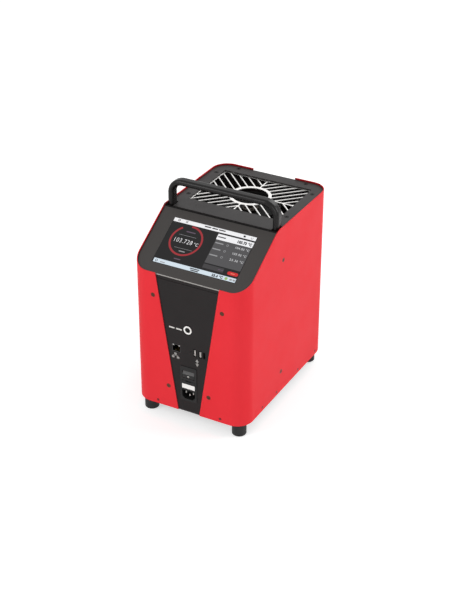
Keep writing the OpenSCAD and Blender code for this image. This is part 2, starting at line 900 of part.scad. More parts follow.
// Inner side frame of the right side, with its flanges under the console and under the grille
module side_frame() {
    back = side_frame_l / 2;
    slope_end = ridge_y - 10;
    difference() {
        union() {
            along_x(frame_x, in_x) side_frame_profile();
            along_x(in_x - console_flange_w, in_x) polygon([
                [-back, console_z(-back) - frame_drop],
                [slope_end, console_z(slope_end) - frame_drop],
                [slope_end, console_z(slope_end) - frame_drop - frame_t],
                [-back, console_z(-back) - frame_drop - frame_t]
            ]);
            box([in_x - flange_w, baffle_front, flange_top - frame_t], [in_x, back, flange_top]);
        }
        at_side_screws() flush_hole();
        at_side_top_screws() flush_hole();
        at_rivets() rivet_hole();
    }
}

module right_side_frame() {
    color("#8E9092") side_frame();
}

module left_side_frame() {
    color("#8E9092") mirror([1, 0, 0]) side_frame();
}

// Flat-oval section of the handle's bar
module handle_section() {
    square([handle_t, handle_d - handle_t], center = true);
    for (s = [-1, 1]) {
        translate([0, s * (handle_d - handle_t) / 2]) circle(d = handle_t);
    }
}

// Carrying handle: two legs, two bends and the grip, swept with one section
module handle() {
    bend_x = handle_x - bend_r;
    bend_z = bar_z - bend_r;
    color("#1E1D1D") difference() {
        union() {
            for (m = [0, 1]) {
                mirror([m, 0, 0]) {
                    translate([handle_x, handle_y, beam_top])
                        linear_extrude(bend_z - beam_top) handle_section();
                    translate([bend_x, handle_y, bend_z]) rotate([90, 0, 0])
                        rotate_extrude(angle = 90) translate([bend_r, 0]) handle_section();
                }
            }
            translate([-bend_x, handle_y, bar_z]) rotate([0, 90, 0])
                linear_extrude(2 * bend_x) handle_section();
        }
        at_legs() translate([0, 0, beam_top - 1])
            cylinder(h = handle_screw_grip + 3, d = handle_screw_dia + 2 * hole_gap);
    }
}

// Places children on the axes of the handle's legs
module at_legs() {
    for (sx = [-1, 1]) {
        translate([sx * handle_x, handle_y, 0]) children();
    }
}

// Cross beam between the side frames that carries the handle
module handle_beam() {
    color("#1E1D1D") difference() {
        translate([0, handle_y, beam_top - beam_t / 2])
            cube([2 * frame_x, beam_d, beam_t], center = true);
        at_legs() translate([0, 0, beam_top - beam_t - 1])
            cylinder(h = beam_t + 2, d = handle_screw_dia + 2 * hole_gap);
    }
}

module handle_screws() {
    head = 5;
    color("#B8B8BA") at_legs() translate([0, 0, beam_top - beam_t]) {
        translate([0, 0, -head]) cylinder(h = head, d = 1.6 * handle_screw_dia);
        cylinder(h = beam_t + handle_screw_grip, d = handle_screw_dia);
    }
}

// Screw that holds a foot
foot_screw_dia = 5;
function foot_hole_dia() = foot_screw_dia + 2 * hole_gap;

// Places children on the axes of the four feet
module at_feet() {
    at_corners(body_w - 2 * foot_in, body_d - 2 * foot_in) children();
}

// One foot: an upright cylinder with broken edges and a pocket for its screw
module foot(sx, sy) {
    r = foot_dia / 2;
    translate([sx * (body_w / 2 - foot_in), sy * (body_d / 2 - foot_in), 0])
        color("#2C2D2D") rotate_extrude() polygon([
            [foot_pocket_dia / 2, 0],
            [r - foot_edge, 0],
            [r, foot_edge],
            [r, foot_h],
            [foot_hole_dia() / 2, foot_h],
            [foot_hole_dia() / 2, foot_pocket_h],
            [foot_pocket_dia / 2, foot_pocket_h]
        ]);
}

module foot_front_left() {
    foot(-1, -1);
}

module foot_front_right() {
    foot(1, -1);
}

module foot_rear_left() {
    foot(-1, 1);
}

module foot_rear_right() {
    foot(1, 1);
}

// Foot screws, each with its nut on the base plate
module foot_screws() {
    head = 3.5;
    nut = 4;
    color("#B8B8BA") at_feet() {
        translate([0, 0, foot_pocket_h - head]) cylinder(h = head, d = 2 * foot_screw_dia);
        translate([0, 0, foot_pocket_h])
            cylinder(h = base_top + nut + 2 - foot_pocket_h, d = foot_screw_dia);
        translate([0, 0, base_top]) difference() {
            cylinder(h = nut, d = 1.8 * foot_screw_dia, $fn = 6);
            translate([0, 0, -1]) cylinder(h = nut + 2, d = foot_screw_dia + hole_gap);
        }
    }
}

module case_screws() {
    color("#5B4E3C") {
        at_vee_screws() flush_screw();
        at_side_screws() flush_screw();
        at_rear_screws() flush_screw();
    }
}

module top_plate_screws() {
    color("#222222") {
        at_side_top_screws() flush_screw();
        at_rear_top_screws() flush_screw();
    }
}

module case_rivets() {
    color("#B03034") at_rivets() flush_rivet();
}

// Display glass, flush with the console
module display_glass() {
    color("#101114") on_console() translate([0, display_s, -console_t / 2])
        cube([display_w, display_h, console_t], center = true);
}

// Display module behind the glass
module display_module() {
    color("#8A8C8E") on_console() translate([0, display_s, lcd_face - lcd_t / 2])
        cube([display_w + 2 * lcd_lap, display_h + 2 * lcd_lap, lcd_t], center = true);
}

display_board_w = display_w - 2 * display_board_in;
display_board_h = display_h - 4;

// Places children at the posts of the display board
module at_display_posts() {
    on_console() translate([0, display_s, lcd_back])
        at_corners(display_board_w - 2 * display_post_in, display_board_h - 2 * display_post_in)
        children();
}

module display_board() {
    color("#1F5C3A") on_console()
        translate([0, display_s, lcd_back - display_post_h - board_t / 2])
        cube([display_board_w, display_board_h, board_t], center = true);
}

// Outer diameter of the round socket's shell
function sensor_shell_dia() = (sensor_ring_dia + sensor_bore_dia) / 2;

// Draws a ring along Y
module tube_y(y0, y1, outer, inner) {
    along_y(y0, y1) difference() {
        circle(d = outer);
        circle(d = inner);
    }
}

// White ring of the round sensor socket
module sensor_ring() {
    color("#E8E6E2") translate([0, 0, socket_z])
        tube_y(in_front - 1.3, in_front, sensor_ring_dia, sensor_bore_dia);
}

module sensor_shell() {
    color("#9A9A9C") translate([0, 0, socket_z])
        tube_y(in_front, iface_y, sensor_shell_dia(), sensor_bore_dia);
}

// Insert with the contact holes of the round socket
module sensor_insert() {
    contact_r = 2.2;
    insert_front = panel_back + 4;
    color("#161616") translate([0, 0, socket_z]) difference() {
        along_y(insert_front, iface_y) circle(d = sensor_bore_dia - 2 * hole_gap);
        along_y(insert_front - 1, insert_front + 8) for (a = [45:90:315]) {
            translate([contact_r * cos(a), contact_r * sin(a)]) circle(d = 1.2);
        }
    }
}

jack_wall = 1.2;
jack_key = [6, 3];
jack_cavity_d = 15;

// Network jack with its cavity open to the front
module network_jack() {
    color("#1C1C1C") translate([-jack_x, 0, ports_z]) difference() {
        along_y(in_front + 0.3, iface_y) square([jack_w, jack_h], center = true);
        along_y(in_front - 1, in_front + jack_cavity_d) {
            translate([0, -jack_wall / 2])
                square([jack_w - 2 * jack_wall, jack_h - 3 * jack_wall], center = true);
            translate([0, (jack_h - jack_wall - jack_key[1]) / 2]) square(jack_key, center = true);
        }
    }
}

// Row of contacts along the jack's floor
module jack_contacts() {
    pitch = 1.27;
    count = 8;
    floor_z = ports_z - jack_h / 2 + jack_wall;
    color("#C8A860") for (i = [0:count - 1]) {
        translate([-jack_x + (i - (count - 1) / 2) * pitch, 0, 0])
            box([-0.3, in_front + 3, floor_z], [0.3, in_front + jack_cavity_d, floor_z + 0.8]);
    }
}

// Places children in the middle of the two upright ports, in the front panel's plane
module at_ports() {
    for (i = [0, 1]) {
        translate([port_x + i * port_pitch, ports_z]) children();
    }
}

// Outlines of the upright ports and of the narrow one beside them, grown on each side
module port_outlines(grow) {
    at_ports() square([port_w + 2 * grow, port_h + 2 * grow], center = true);
    translate([narrow_x, ports_z])
        square([narrow_w + 2 * grow, narrow_h + 2 * grow], center = true);
}

port_cavity_d = 13;

// Shells of the three ports, each closed at its rear
module port_shells() {
    color("#2A2827") difference() {
        along_y(in_front - 0.4, iface_y) port_outlines(0);
        along_y(in_front - 1, in_front + port_cavity_d) port_outlines(-port_wall);
    }
}

module port_tongues() {
    tongue_t = 2.6;
    tongue_gap = 0.5;
    tongue_back = 3.2;
    color("#C9C0B8") along_y(in_front + tongue_back, in_front + port_cavity_d) at_ports()
        translate([tongue_t / 2 + tongue_gap - port_w / 2 + port_wall, 0])
        square([tongue_t, port_h - 2 * port_wall - 2 * tongue_gap], center = true);
}

// Light guide of the status light
module status_light() {
    color("#6E7470") translate([lamp_x, 0, ports_z]) along_y(in_front - 0.5, iface_y)
        circle(d = lamp_dia);
}

module interface_board() {
    color("#1F5C3A") box([-iface_w / 2, iface_y, iface_low],
        [iface_w / 2, iface_y + board_t, iface_high]);
}

// Posts of the display board, the interface board and the power board
module board_posts() {
    color("#C8A860") {
        at_display_posts() translate([0, 0, -display_post_h]) cylinder(h = display_post_h, d = post_dia);
        translate([0, 0, (iface_low + iface_high) / 2]) along_y(panel_back, iface_y)
            at_corners(iface_w - 2 * post_in, iface_high - iface_low - 2 * post_in) circle(d = post_dia);
        translate([0, power_mid_y, base_top]) at_corners(power_w - 2 * post_in, power_d - 2 * post_in)
            cylinder(h = power_post_h, d = post_dia);
    }
}

// Outline of the inlet's recess, with its two lower corners cut
module plug_outline() {
    w = plug_w / 2;
    h = plug_h / 2;
    polygon([
        [-w, h],
        [w, h],
        [w, plug_cut - h],
        [w - plug_cut, -h],
        [plug_cut - w, -h],
        [-w, plug_cut - h]
    ]);
}

blade_size = [2, 4];
blade_back = 8;

// Outlines of the inlet's three blades
module blade_outlines() {
    translate([0, -2.2]) square(blade_size, center = true);
    for (sx = [-1, 1]) {
        translate([sx * 7, 2.2]) square(blade_size, center = true);
    }
}

// Housing of the inlet module: flange and body with room for switch, drawer and plug
module inlet_housing() {
    back = in_front + inlet_body_d;
    color("#1A1A1A") difference() {
        union() {
            translate([0, 0, inlet_mid]) along_y(inlet_face, in_front)
                round_rect(inlet_w, inlet_h, 2);
            translate([0, 0, inlet_mid]) along_y(in_front, back)
                square([inlet_body_w, inlet_body_h], center = true);
        }
        translate([0, 0, switch_z]) along_y(inlet_face - 1, pivot_y + rocker_back + 2)
            square([rocker_room_w, rocker_room_h], center = true);
        translate([0, pivot_y, switch_z]) rotate([0, 90, 0])
            cylinder(h = axle_l + 2 * move_gap, d = axle_dia + 2 * axle_gap, center = true);
        translate([0, 0, drawer_z]) along_y(inlet_face - 1, drawer_face + drawer_l + move_gap)
            square([drawer_w + 2 * move_gap, drawer_h + 2 * move_gap], center = true);
        translate([0, 0, plug_z]) along_y(inlet_face - 1, inlet_face + plug_depth) plug_outline();
        translate([0, 0, plug_z]) along_y(in_front, back + 1) blade_outlines();
    }
}

module inlet_blades() {
    color("#C8C4BC") translate([0, 0, plug_z])
        along_y(inlet_face + plug_depth - blade_l, in_front + inlet_body_d + blade_back) blade_outlines();
}

// Rocker of the mains switch, pressed in at its upper half, with its axle across
module rocker_switch() {
    half = rocker_h / 2;
    color("#242424") translate([0, pivot_y, switch_z]) rotate([-rocker_lean, 0, 0]) {
        rotate([0, 90, 0]) cylinder(h = axle_l, d = axle_dia, center = true);
        along_x(-rocker_w / 2, rocker_w / 2) polygon([
            [-rocker_ridge, 0],
            [-rocker_end, half],
            [1, half],
            [rocker_back, half / 2],
            [rocker_back, -half / 2],
            [1, -half],
            [-rocker_end, -half]
        ]);
    }
}

// Fuse drawer with two troughs, each as long as its fuse
fuse_x = 6;
fuse_front = 5;
fuse_z = drawer_z + 2.2;
module fuse_drawer() {
    trough = fuse_dia + 2 * hole_gap;
    color("#202020") difference() {
        translate([0, 0, drawer_z]) along_y(drawer_face, drawer_face + drawer_l)
            square([drawer_w, drawer_h], center = true);
        for (sx = [-1, 1]) {
            box([sx * fuse_x - trough / 2, drawer_face + fuse_front, fuse_z - fuse_dia / 2],
                [sx * fuse_x + trough / 2, drawer_face + fuse_front + fuse_l, drawer_z + drawer_h]);
        }
        translate([0, 0, drawer_z + drawer_h / 2]) along_y(drawer_face - 1, drawer_face + 2.5)
            square([10, 3], center = true);
    }
}

// Plain tag on the drawer's face
tag_t = 0.2;
tag_h = 8.6;
module drawer_tag() {
    color("#EDEBE6") translate([0, 0, drawer_z - drawer_h / 2 + tag_h / 2 + 0.2])
        along_y(drawer_face - tag_t, drawer_face) square([drawer_w - 0.6, tag_h], center = true);
}

module fuses() {
    color("#C9C4B4") for (sx = [-1, 1]) {
        translate([sx * fuse_x, 0, fuse_z])
            along_y(drawer_face + fuse_front, drawer_face + fuse_front + fuse_l) circle(d = fuse_dia);
    }
}

// Baffle between the electronics and the heated half
module baffle() {
    color("#A6A8AA") box([-frame_x, baffle_front, base_top],
        [frame_x, baffle_rear, flange_top - frame_t]);
}

deck_spoke = 18;

// Deck that carries the block, with a ring of air openings
module block_deck() {
    color("#A6A8AA") difference() {
        box([-frame_x, baffle_rear, deck_top - base_t], [frame_x, deck_rear, deck_top]);
        translate([0, heat_y, deck_top - base_t - 1]) linear_extrude(base_t + 2) difference() {
            circle(air_out_r, $fn = 96);
            circle(air_in_r, $fn = 96);
            rotate(45) square([2 * far, deck_spoke], center = true);
            rotate(-45) square([2 * far, deck_spoke], center = true);
        }
    }
}

// Places children round the axis of the well
module round_well(radius, count, start) {
    for (i = [0:count - 1]) {
        translate([0, heat_y, 0]) rotate(start + i * 360 / count) translate([radius, 0, 0]) children();
    }
}

module block_posts() {
    color("#EDE8DC") round_well(heater_pcr, 4, 45) translate([0, 0, deck_top])
        cylinder(h = block_post_h, r = 5);
}

drill_gap = 0.1;

// Heated block with the well, the heaters' holes and the sensor's hole
module heated_block() {
    color("#8C7A62") difference() {
        translate([0, heat_y, block_low]) cylinder(h = block_top - block_low, r = block_r);
        translate([0, heat_y, well_low]) cylinder(h = block_top - well_low + 1, r = well_r);
        round_well(heater_pcr, 4, 0) translate([0, 0, block_low - 1])
            cylinder(h = heater_top - block_low + 1, r = heater_r + drill_gap);
        round_well(heater_pcr, 1, sensor_angle) translate([0, 0, block_low - 1])
            cylinder(h = sensor_top - block_low + 1, r = sensor_r + drill_gap);
    }
}

module heater_cartridges() {
    low = block_low - heater_out;
    color("#B0A89C") round_well(heater_pcr, 4, 0) translate([0, 0, low])
        cylinder(h = heater_top - low, r = heater_r);
}

module reference_sensor() {
    low = block_low - sensor_out;
    color("#C4C4C6") round_well(heater_pcr, 1, sensor_angle) translate([0, 0, low])
        cylinder(h = sensor_top - low, r = sensor_r);
}

module thermal_cutout() {
    cutout_h = 7;
    color("#5A4A3C") translate([0, heat_y, block_low - cutout_h]) cylinder(h = cutout_h, r = 9);
}

// Lift-out sleeve with a middle bore and smaller side bores
module adapter_sleeve() {
    color("#6E6258") difference() {
        translate([0, heat_y, sleeve_low]) cylinder(h = sleeve_top - sleeve_low, r = sleeve_r);
        translate([0, heat_y, bore_low]) cylinder(h = sleeve_top - bore_low + 1, r = probe_r);
        round_well(side_probe_pcr, 4, 45) translate([0, 0, bore_low])
            cylinder(h = sleeve_top - bore_low + 1, r = side_probe_r);
    }
}

module insulation() {
    color("#E8E4DA") translate([0, heat_y, deck_top]) linear_extrude(wool_h) difference() {
        circle(wool_r);
        circle(block_r + wool_gap);
    }
}

module heat_shield() {
    color("#B4B6B8") translate([0, heat_y, deck_top]) linear_extrude(shield_h) difference() {
        circle(wool_r + wool_gap + shield_t);
        circle(wool_r + wool_gap);
    }
}

// Collar on the insulation, round the mouth of the well
module well_collar() {
    color("#3C3A38") translate([0, heat_y, deck_top + wool_h]) linear_extrude(collar_t) difference() {
        circle(wool_r);
        circle(well_r + 0.6);
    }
}

// Fan frame: duct, three struts and the boss that carries the rotor's shaft
module fan_frame() {
    boss_h = fan_top - boss_low;
    color("#232323") difference() {
        translate([0, heat_y, base_top]) union() {
            linear_extrude(fan_h) difference() {
                round_rect(fan_w, fan_w, 6);
                circle(duct_r, $fn = 96);
            }
            translate([0, 0, boss_low - base_top]) cylinder(h = boss_h, r = hub_r);
            translate([0, 0, fan_h - 4]) linear_extrude(4) intersection() {
                circle(duct_r + 0.5, $fn = 96);
                for (a = [0, 120, 240]) {
                    rotate(a) translate([0, -3]) square([far, 6]);
                }
            }
        }
        translate([0, heat_y, base_top - 1]) at_corners(fan_pitch, fan_pitch)
            cylinder(h = fan_h + 2, d = fan_screw_dia + 2 * hole_gap);
        translate([0, heat_y, boss_low - 1]) cylinder(h = boss_h - 1, r = shaft_r + shaft_gap);
    }
}

// Fan rotor: hub, shaft and pitched blades
module fan_rotor() {
    blade_r = duct_r - blade_gap;
    blade_t = 2;
    color("#303030") translate([0, heat_y, hub_low]) {
        cylinder(h = hub_h, r = hub_r);
        cylinder(h = hub_h + 4, r = shaft_r);
        for (i = [0:blade_count - 1]) {
            rotate(i * 360 / blade_count) intersection() {
                translate([0, 0, 1]) cylinder(h = hub_h - 2, r = blade_r, $fn = 96);
                translate([hub_r - 2, 0, hub_h / 2]) rotate([blade_pitch, 0, 0])
                    translate([0, -far / 2, -blade_t / 2]) cube([far, far, blade_t]);
            }
        }
    }
}

// Flat finger guard under the base plate
module fan_guard() {
    pitch = duct_r / guard_rings;
    reach = fan_pitch / 2 * sqrt(2);
    color("#9C9EA0") translate([0, heat_y, foot_h - guard_t]) linear_extrude(guard_t) difference() {
        union() {
            for (i = [1:guard_rings]) {
                difference() {
                    circle(i * pitch + guard_w / 2);
                    circle(i * pitch - guard_w / 2);
                }
            }
            circle(guard_w);
            for (a = [45, 135]) {
                rotate(a) square([2 * reach, 2 * guard_w], center = true);
            }
            at_corners(fan_pitch, fan_pitch) circle(d = 2.4 * fan_screw_dia);
        }
        at_corners(fan_pitch, fan_pitch) circle(d = fan_screw_dia + 2 * hole_gap);
    }
}

module fan_screws() {
    head = 3;
    color("#B8B8BA") translate([0, heat_y, foot_h - guard_t]) at_corners(fan_pitch, fan_pitch) {
        translate([0, 0, -head]) cylinder(h = head, d = 2 * fan_screw_dia);
        cylinder(h = guard_t + base_t + fan_h - 3, d = fan_screw_dia);
    }
}

module power_board() {
    color("#1F5C3A") translate([0, power_mid_y, power_low]) linear_extrude(board_t)
        square([power_w, power_d], center = true);
}

// Metal can of the line filter on the power board
module line_filter() {
    color("#B9BBBD") translate([-heavy_x, power_mid_y, power_top]) linear_extrude(filter_h)
        square([filter_w, filter_d], center = true);
}

// Transformer on the power board: an upright core with its winding round it
module transformer() {
    color("#6A5A48") translate([heavy_x, power_mid_y, power_top]) {
        linear_extrude(core_h) square([core_w, core_d], center = true);
        translate([0, 0, (core_h - coil_h) / 2]) linear_extrude(coil_h)
            square([coil_w, coil_d], center = true);
    }
}

// Finned heat sink that hangs on the baffle, with room for the relay between its fins
module heat_sink() {
    fin_t = 2;
    step = (sink_w - fin_t) / (sink_fins - 1);
    color("#9DA0A3") {
        box([-sink_w / 2, sink_root, sink_low], [sink_w / 2, baffle_front, sink_low + sink_h]);
        for (i = [0:sink_fins - 1]) {
            x = -sink_w / 2 + i * step;
            if (abs(x + fin_t / 2) > relay_w / 2 + fin_t) {
                box([x, sink_root - sink_fin, sink_low], [x + fin_t, sink_root + eps, sink_low + sink_h]);
            }
        }
    }
}

// Solid-state relay on the middle of the heat sink
module power_relay() {
    mid = sink_low + sink_h / 2;
    color("#2A2A2C") box([-relay_w / 2, sink_root - relay_d, mid - relay_h / 2],
        [relay_w / 2, sink_root, mid + relay_h / 2]);
}

left_case_shell();
right_case_shell();
base_plate();
front_panel();
rear_panel();
console_panel();
top_plate();
guard_grille();
left_side_frame();
right_side_frame();
handle();
handle_beam();
handle_screws();
foot_front_left();
foot_front_right();
foot_rear_left();
foot_rear_right();
foot_screws();
case_screws();
top_plate_screws();
case_rivets();
display_glass();
display_module();
display_board();
sensor_ring();
sensor_shell();
sensor_insert();
network_jack();
jack_contacts();
port_shells();
port_tongues();
status_light();
interface_board();
board_posts();
inlet_housing();
inlet_blades();
rocker_switch();
fuse_drawer();
drawer_tag();
fuses();
baffle();
block_deck();
block_posts();
heated_block();
heater_cartridges();
reference_sensor();
thermal_cutout();
adapter_sleeve();
insulation();
heat_shield();
well_collar();
fan_frame();
fan_rotor();
fan_guard();
fan_screws();
power_board();
line_filter();
transformer();
heat_sink();
power_relay();
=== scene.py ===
"""Looks of a portable dry block heater: finishes, broken edges, screen page and small trim.

Metres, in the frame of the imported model: X to the right, Y to the rear and Z up.
"""

import json
import logging
import math
from dataclasses import dataclass, field
from enum import Enum
from typing import Any, Callable, ClassVar, Sequence

import bmesh
import bpy
from mathutils import Matrix, Vector


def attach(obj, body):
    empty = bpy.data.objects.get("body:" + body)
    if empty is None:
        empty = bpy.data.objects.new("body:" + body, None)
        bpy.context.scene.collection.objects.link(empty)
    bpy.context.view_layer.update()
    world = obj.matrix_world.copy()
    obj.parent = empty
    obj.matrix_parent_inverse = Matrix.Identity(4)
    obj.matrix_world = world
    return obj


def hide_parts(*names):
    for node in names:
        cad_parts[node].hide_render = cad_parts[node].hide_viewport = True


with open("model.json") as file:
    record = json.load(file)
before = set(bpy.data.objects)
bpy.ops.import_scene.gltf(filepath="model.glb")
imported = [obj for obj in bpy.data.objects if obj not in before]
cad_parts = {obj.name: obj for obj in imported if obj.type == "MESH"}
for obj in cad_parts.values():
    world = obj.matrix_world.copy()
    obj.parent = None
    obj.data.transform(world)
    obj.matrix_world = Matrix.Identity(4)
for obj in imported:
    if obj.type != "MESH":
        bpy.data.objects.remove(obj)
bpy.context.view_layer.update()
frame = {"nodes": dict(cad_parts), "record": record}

LOG = logging.getLogger("dry_block_heater")
MM = 0.001
WHITE = (1, 1, 1, 1)

# Front of the casing along Y, lower end and run of the console, and upper face of the plates, in millimetres
FRONT, BROW, RUN, PLATE_TOP = -154.0, 278.2, 112.6, 346.2
SLOPE = math.degrees(math.atan((PLATE_TOP - BROW) / RUN))

Colour = tuple[float, float, float]
Tint = tuple[float, float, float, float]
Place = tuple[float, float, float]
Box = tuple[float, float, float, float]
Rows = tuple[tuple[Any, ...], ...]


class Body(Enum):
    """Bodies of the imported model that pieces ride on."""

    HOUSING = "housing"
    ROCKER = "rocker"
    DRAWER = "drawer"
    SLEEVE = "sleeve"


class Kind(Enum):
    """Kinds of sockets on a shared node group."""

    VECTOR = "NodeSocketVector"
    VALUE = "NodeSocketFloat"
    COLOUR = "NodeSocketColor"


class Axis(Enum):
    """Direction that a brushed or drawn finish runs along, as a scale of the coordinates."""

    X = (0.02, 1.0, 1.0)
    Y = (1.0, 0.02, 1.0)
    Z = (1.0, 1.0, 0.02)


def screen(colour: Colour) -> Tint:
    """Turns a screen colour into a linear one.

    Args:
        colour: Red, green and blue from 0 to 255.

    Returns:
        The linear colour with a full alpha.
    """
    shares = (value / 255 for value in colour)
    return (*(share / 12.92 if share <= 0.04045 else ((share + 0.055) / 1.055) ** 2.4 for share in shares), 1)


class Net:
    """Node tree with short calls for its nodes."""

    def __init__(self, tree: Any) -> None:
        """Takes up a node tree."""
        self.tree = tree

    def feed(self, target: Any, value: Any) -> None:
        """Feeds an input.

        Args:
            target: The input's socket.
            value: Socket to link it to, or a plain value.
        """
        if isinstance(value, bpy.types.NodeSocket):
            self.tree.links.new(value, target)
        else:
            target.default_value = value

    def add(self, kind: str, feeds: dict[Any, Any], **settings: Any) -> Any:
        """Adds a shader node.

        Args:
            kind: Kind of the node, without its prefix.
            feeds: What its inputs get, by their names or numbers.
            **settings: Properties of the node itself.

        Returns:
            The node's outputs.
        """
        node = self.tree.nodes.new(f"ShaderNode{kind}")
        for label, value in settings.items():
            setattr(node, label, value)
        for label, value in feeds.items():
            self.feed(node.inputs[label], value)
        return node.outputs

    def span(self, value: Any, low: float, high: float, start: Any = 0.0, end: Any = 1.0) -> Any:
        """Spreads a value between two of its levels from a start to an end and gives its socket."""
        return self.add("MapRange", {"Value": value, "From Min": low, "From Max": high,
                                     "To Min": start, "To Max": end})["Result"]


class Effects(Net):
    """Tree of a shader node group that several finishes share, one method for each group."""

    @classmethod
    def group(cls, wire: Callable[["Effects"], None]) -> Any:
        """Finds a group, or builds it on first use.

        Args:
            wire: Method that fills the group, whose name becomes the group's name.

        Returns:
            The node group.
        """
        name = wire.__name__
        if name not in bpy.data.node_groups:
            wire(cls(bpy.data.node_groups.new(name, "ShaderNodeTree")))
        return bpy.data.node_groups[name]

    def sockets(self, inputs: dict[str, Kind], outputs: dict[str, Kind]) -> tuple[Any, Any]:
        """Gives the group its sockets.

        Args:
            inputs: Kind of each input after the vector.
            outputs: Kind of each output.

        Returns:
            Both sides as they are seen within the group.
        """
        for side, kinds in (("INPUT", {"Vector": Kind.VECTOR, **inputs}), ("OUTPUT", outputs)):
            for label, kind in kinds.items():
                self.tree.interface.new_socket(name=label, in_out=side, socket_type=kind.value)
        nodes = self.tree.nodes
        return nodes.new("NodeGroupInput").outputs, nodes.new("NodeGroupOutput").inputs

    def noise(self, inn: Any, detail: float, rough: float = 0.5) -> Any:
        """Adds a noise at the group's own scale, and gives its socket."""
        return self.add("TexNoise", {"Vector": inn["Vector"], "Scale": inn["Scale"], "Detail": detail,
                                     "Roughness": rough})["Fac"]

    def paint_grain(self) -> None:
        """Orange peel of a coat: a fine noise over a slow one."""
        inn, out = self.sockets({"Scale": Kind.VALUE}, {"Height": Kind.VALUE})
        slow = self.add("TexNoise", {"Vector": inn["Vector"], "Scale": 60.0, "Detail": 1.0})["Fac"]
        both = self.add("Math", {0: self.noise(inn, detail=2.0), 1: slow}, operation="ADD")
        self.feed(out["Height"], both[0])

    def mottle(self) -> None:
        """Slow drift between two colours."""
        inn, out = self.sockets({"Scale": Kind.VALUE, "Colour A": Kind.COLOUR, "Colour B": Kind.COLOUR},
                                {"Colour": Kind.COLOUR})
        share = self.span(self.noise(inn, detail=3.0), low=0.3, high=0.7)
        mix = self.add("Mix", {"Factor": share, "A": inn["Colour A"], "B": inn["Colour B"]}, data_type="RGBA")
        self.feed(out["Colour"], mix["Result"])

    def drift(self) -> None:
        """Slow drift between two values, for a roughness that varies."""
        inn, out = self.sockets({"Scale": Kind.VALUE, "Low": Kind.VALUE, "High": Kind.VALUE},
                                {"Value": Kind.VALUE})
        noise = self.noise(inn, detail=4.0)
        self.feed(out["Value"], self.span(noise, low=0.3, high=0.7, start=inn["Low"], end=inn["High"]))

    def flecks(self) -> None:
        """Fine raised flecks of a textured coat, as a mask and a height."""
        inn, out = self.sockets({"Scale": Kind.VALUE}, {"Mask": Kind.VALUE, "Height": Kind.VALUE})
        noise = self.noise(inn, detail=2.0)
        cells = self.add("TexVoronoi", {"Vector": inn["Vector"], "Scale": inn["Scale"]}, feature="F1")
        less = self.add("Math", {0: noise, 1: cells["Distance"]}, operation="SUBTRACT")
        self.feed(out["Mask"], self.span(noise, low=0.62, high=0.78))
        self.feed(out["Height"], less[0])

    def brush_lines(self) -> None:
        """Fine lines of a brushed or drawn metal, along the squeezed axis of the vector."""
        inn, out = self.sockets({"Scale": Kind.VALUE, "Low": Kind.VALUE, "High": Kind.VALUE},
                                {"Roughness": Kind.VALUE, "Height": Kind.VALUE})
        noise = self.noise(inn, detail=4.0, rough=0.7)
        self.feed(out["Roughness"], self.span(noise, low=0.25, high=0.75, start=inn["Low"], end=inn["High"]))
        self.feed(out["Height"], noise)

    def raster(self) -> None:
        """Fine grid of a lit screen, which dims a colour between its dots."""
        inn, out = self.sockets({"Colour": Kind.COLOUR, "Gap": Kind.COLOUR}, {"Colour": Kind.COLOUR})
        pitch, gap = 0.00018, 0.00002
        dots = self.add("TexBrick", {
            "Vector": inn["Vector"], "Color1": inn["Colour"], "Color2": inn["Colour"], "Mortar": inn["Gap"],
            "Scale": 1.0, "Mortar Size": gap, "Mortar Smooth": 0.4, "Brick Width": pitch, "Row Height": pitch,
        }, offset=0.0)
        self.feed(out["Colour"], dots["Color"])


class Shade(Net):
    """Node tree of a material with a Principled shader."""

    def __init__(self, name: str) -> None:
        """Makes the material.

        Args:
            name: The material's name.
        """
        self.material = bpy.data.materials.new(name)
        self.material.use_nodes = True
        super().__init__(self.material.node_tree)
        self.shader = self.tree.nodes["Principled BSDF"]
        self.place = self.add("TexCoord", {})["Object"]

    def set(self, **feeds: Any) -> None:
        """Feeds inputs of the shader, named with underscores for spaces."""
        for label, value in feeds.items():
            self.feed(self.shader.inputs[label.replace("_", " ")], value)

    def effect(self, wire: Callable[[Effects], None], vector: Any = None, **values: Any) -> Any:
        """Places a shared group in the material.

        Args:
            wire: Method of the group.
            vector: Socket with the coordinates, by default those of the object.
            **values: Inputs of the group, with underscores for spaces.

        Returns:
            The group's outputs.
        """
        feeds = {label.replace("_", " "): value for label, value in values.items()}
        feeds["Vector"] = self.place if vector is None else vector
        return self.add("Group", feeds, node_tree=Effects.group(wire))

    def paint(self, colour: Tint, other: Tint, scale: float) -> None:
        """Lets the base colour drift between two colours, at a scale per metre."""
        drift = self.effect(Effects.mottle, Scale=scale, Colour_A=colour, Colour_B=other)
        self.set(Base_Color=drift["Colour"])

    def rough(self, low: float, high: float, scale: float) -> None:
        """Lets the roughness drift between two values, at a scale per metre."""
        self.set(Roughness=self.effect(Effects.drift, Scale=scale, Low=low, High=high)["Value"])

    def relief(self, height: Any, depth: float, strength: float) -> None:
        """Adds a bump from a height socket, with its depth in metres and the share that shows."""
        bump = self.add("Bump", {"Height": height, "Distance": depth, "Strength": strength})
        self.set(Normal=bump["Normal"])


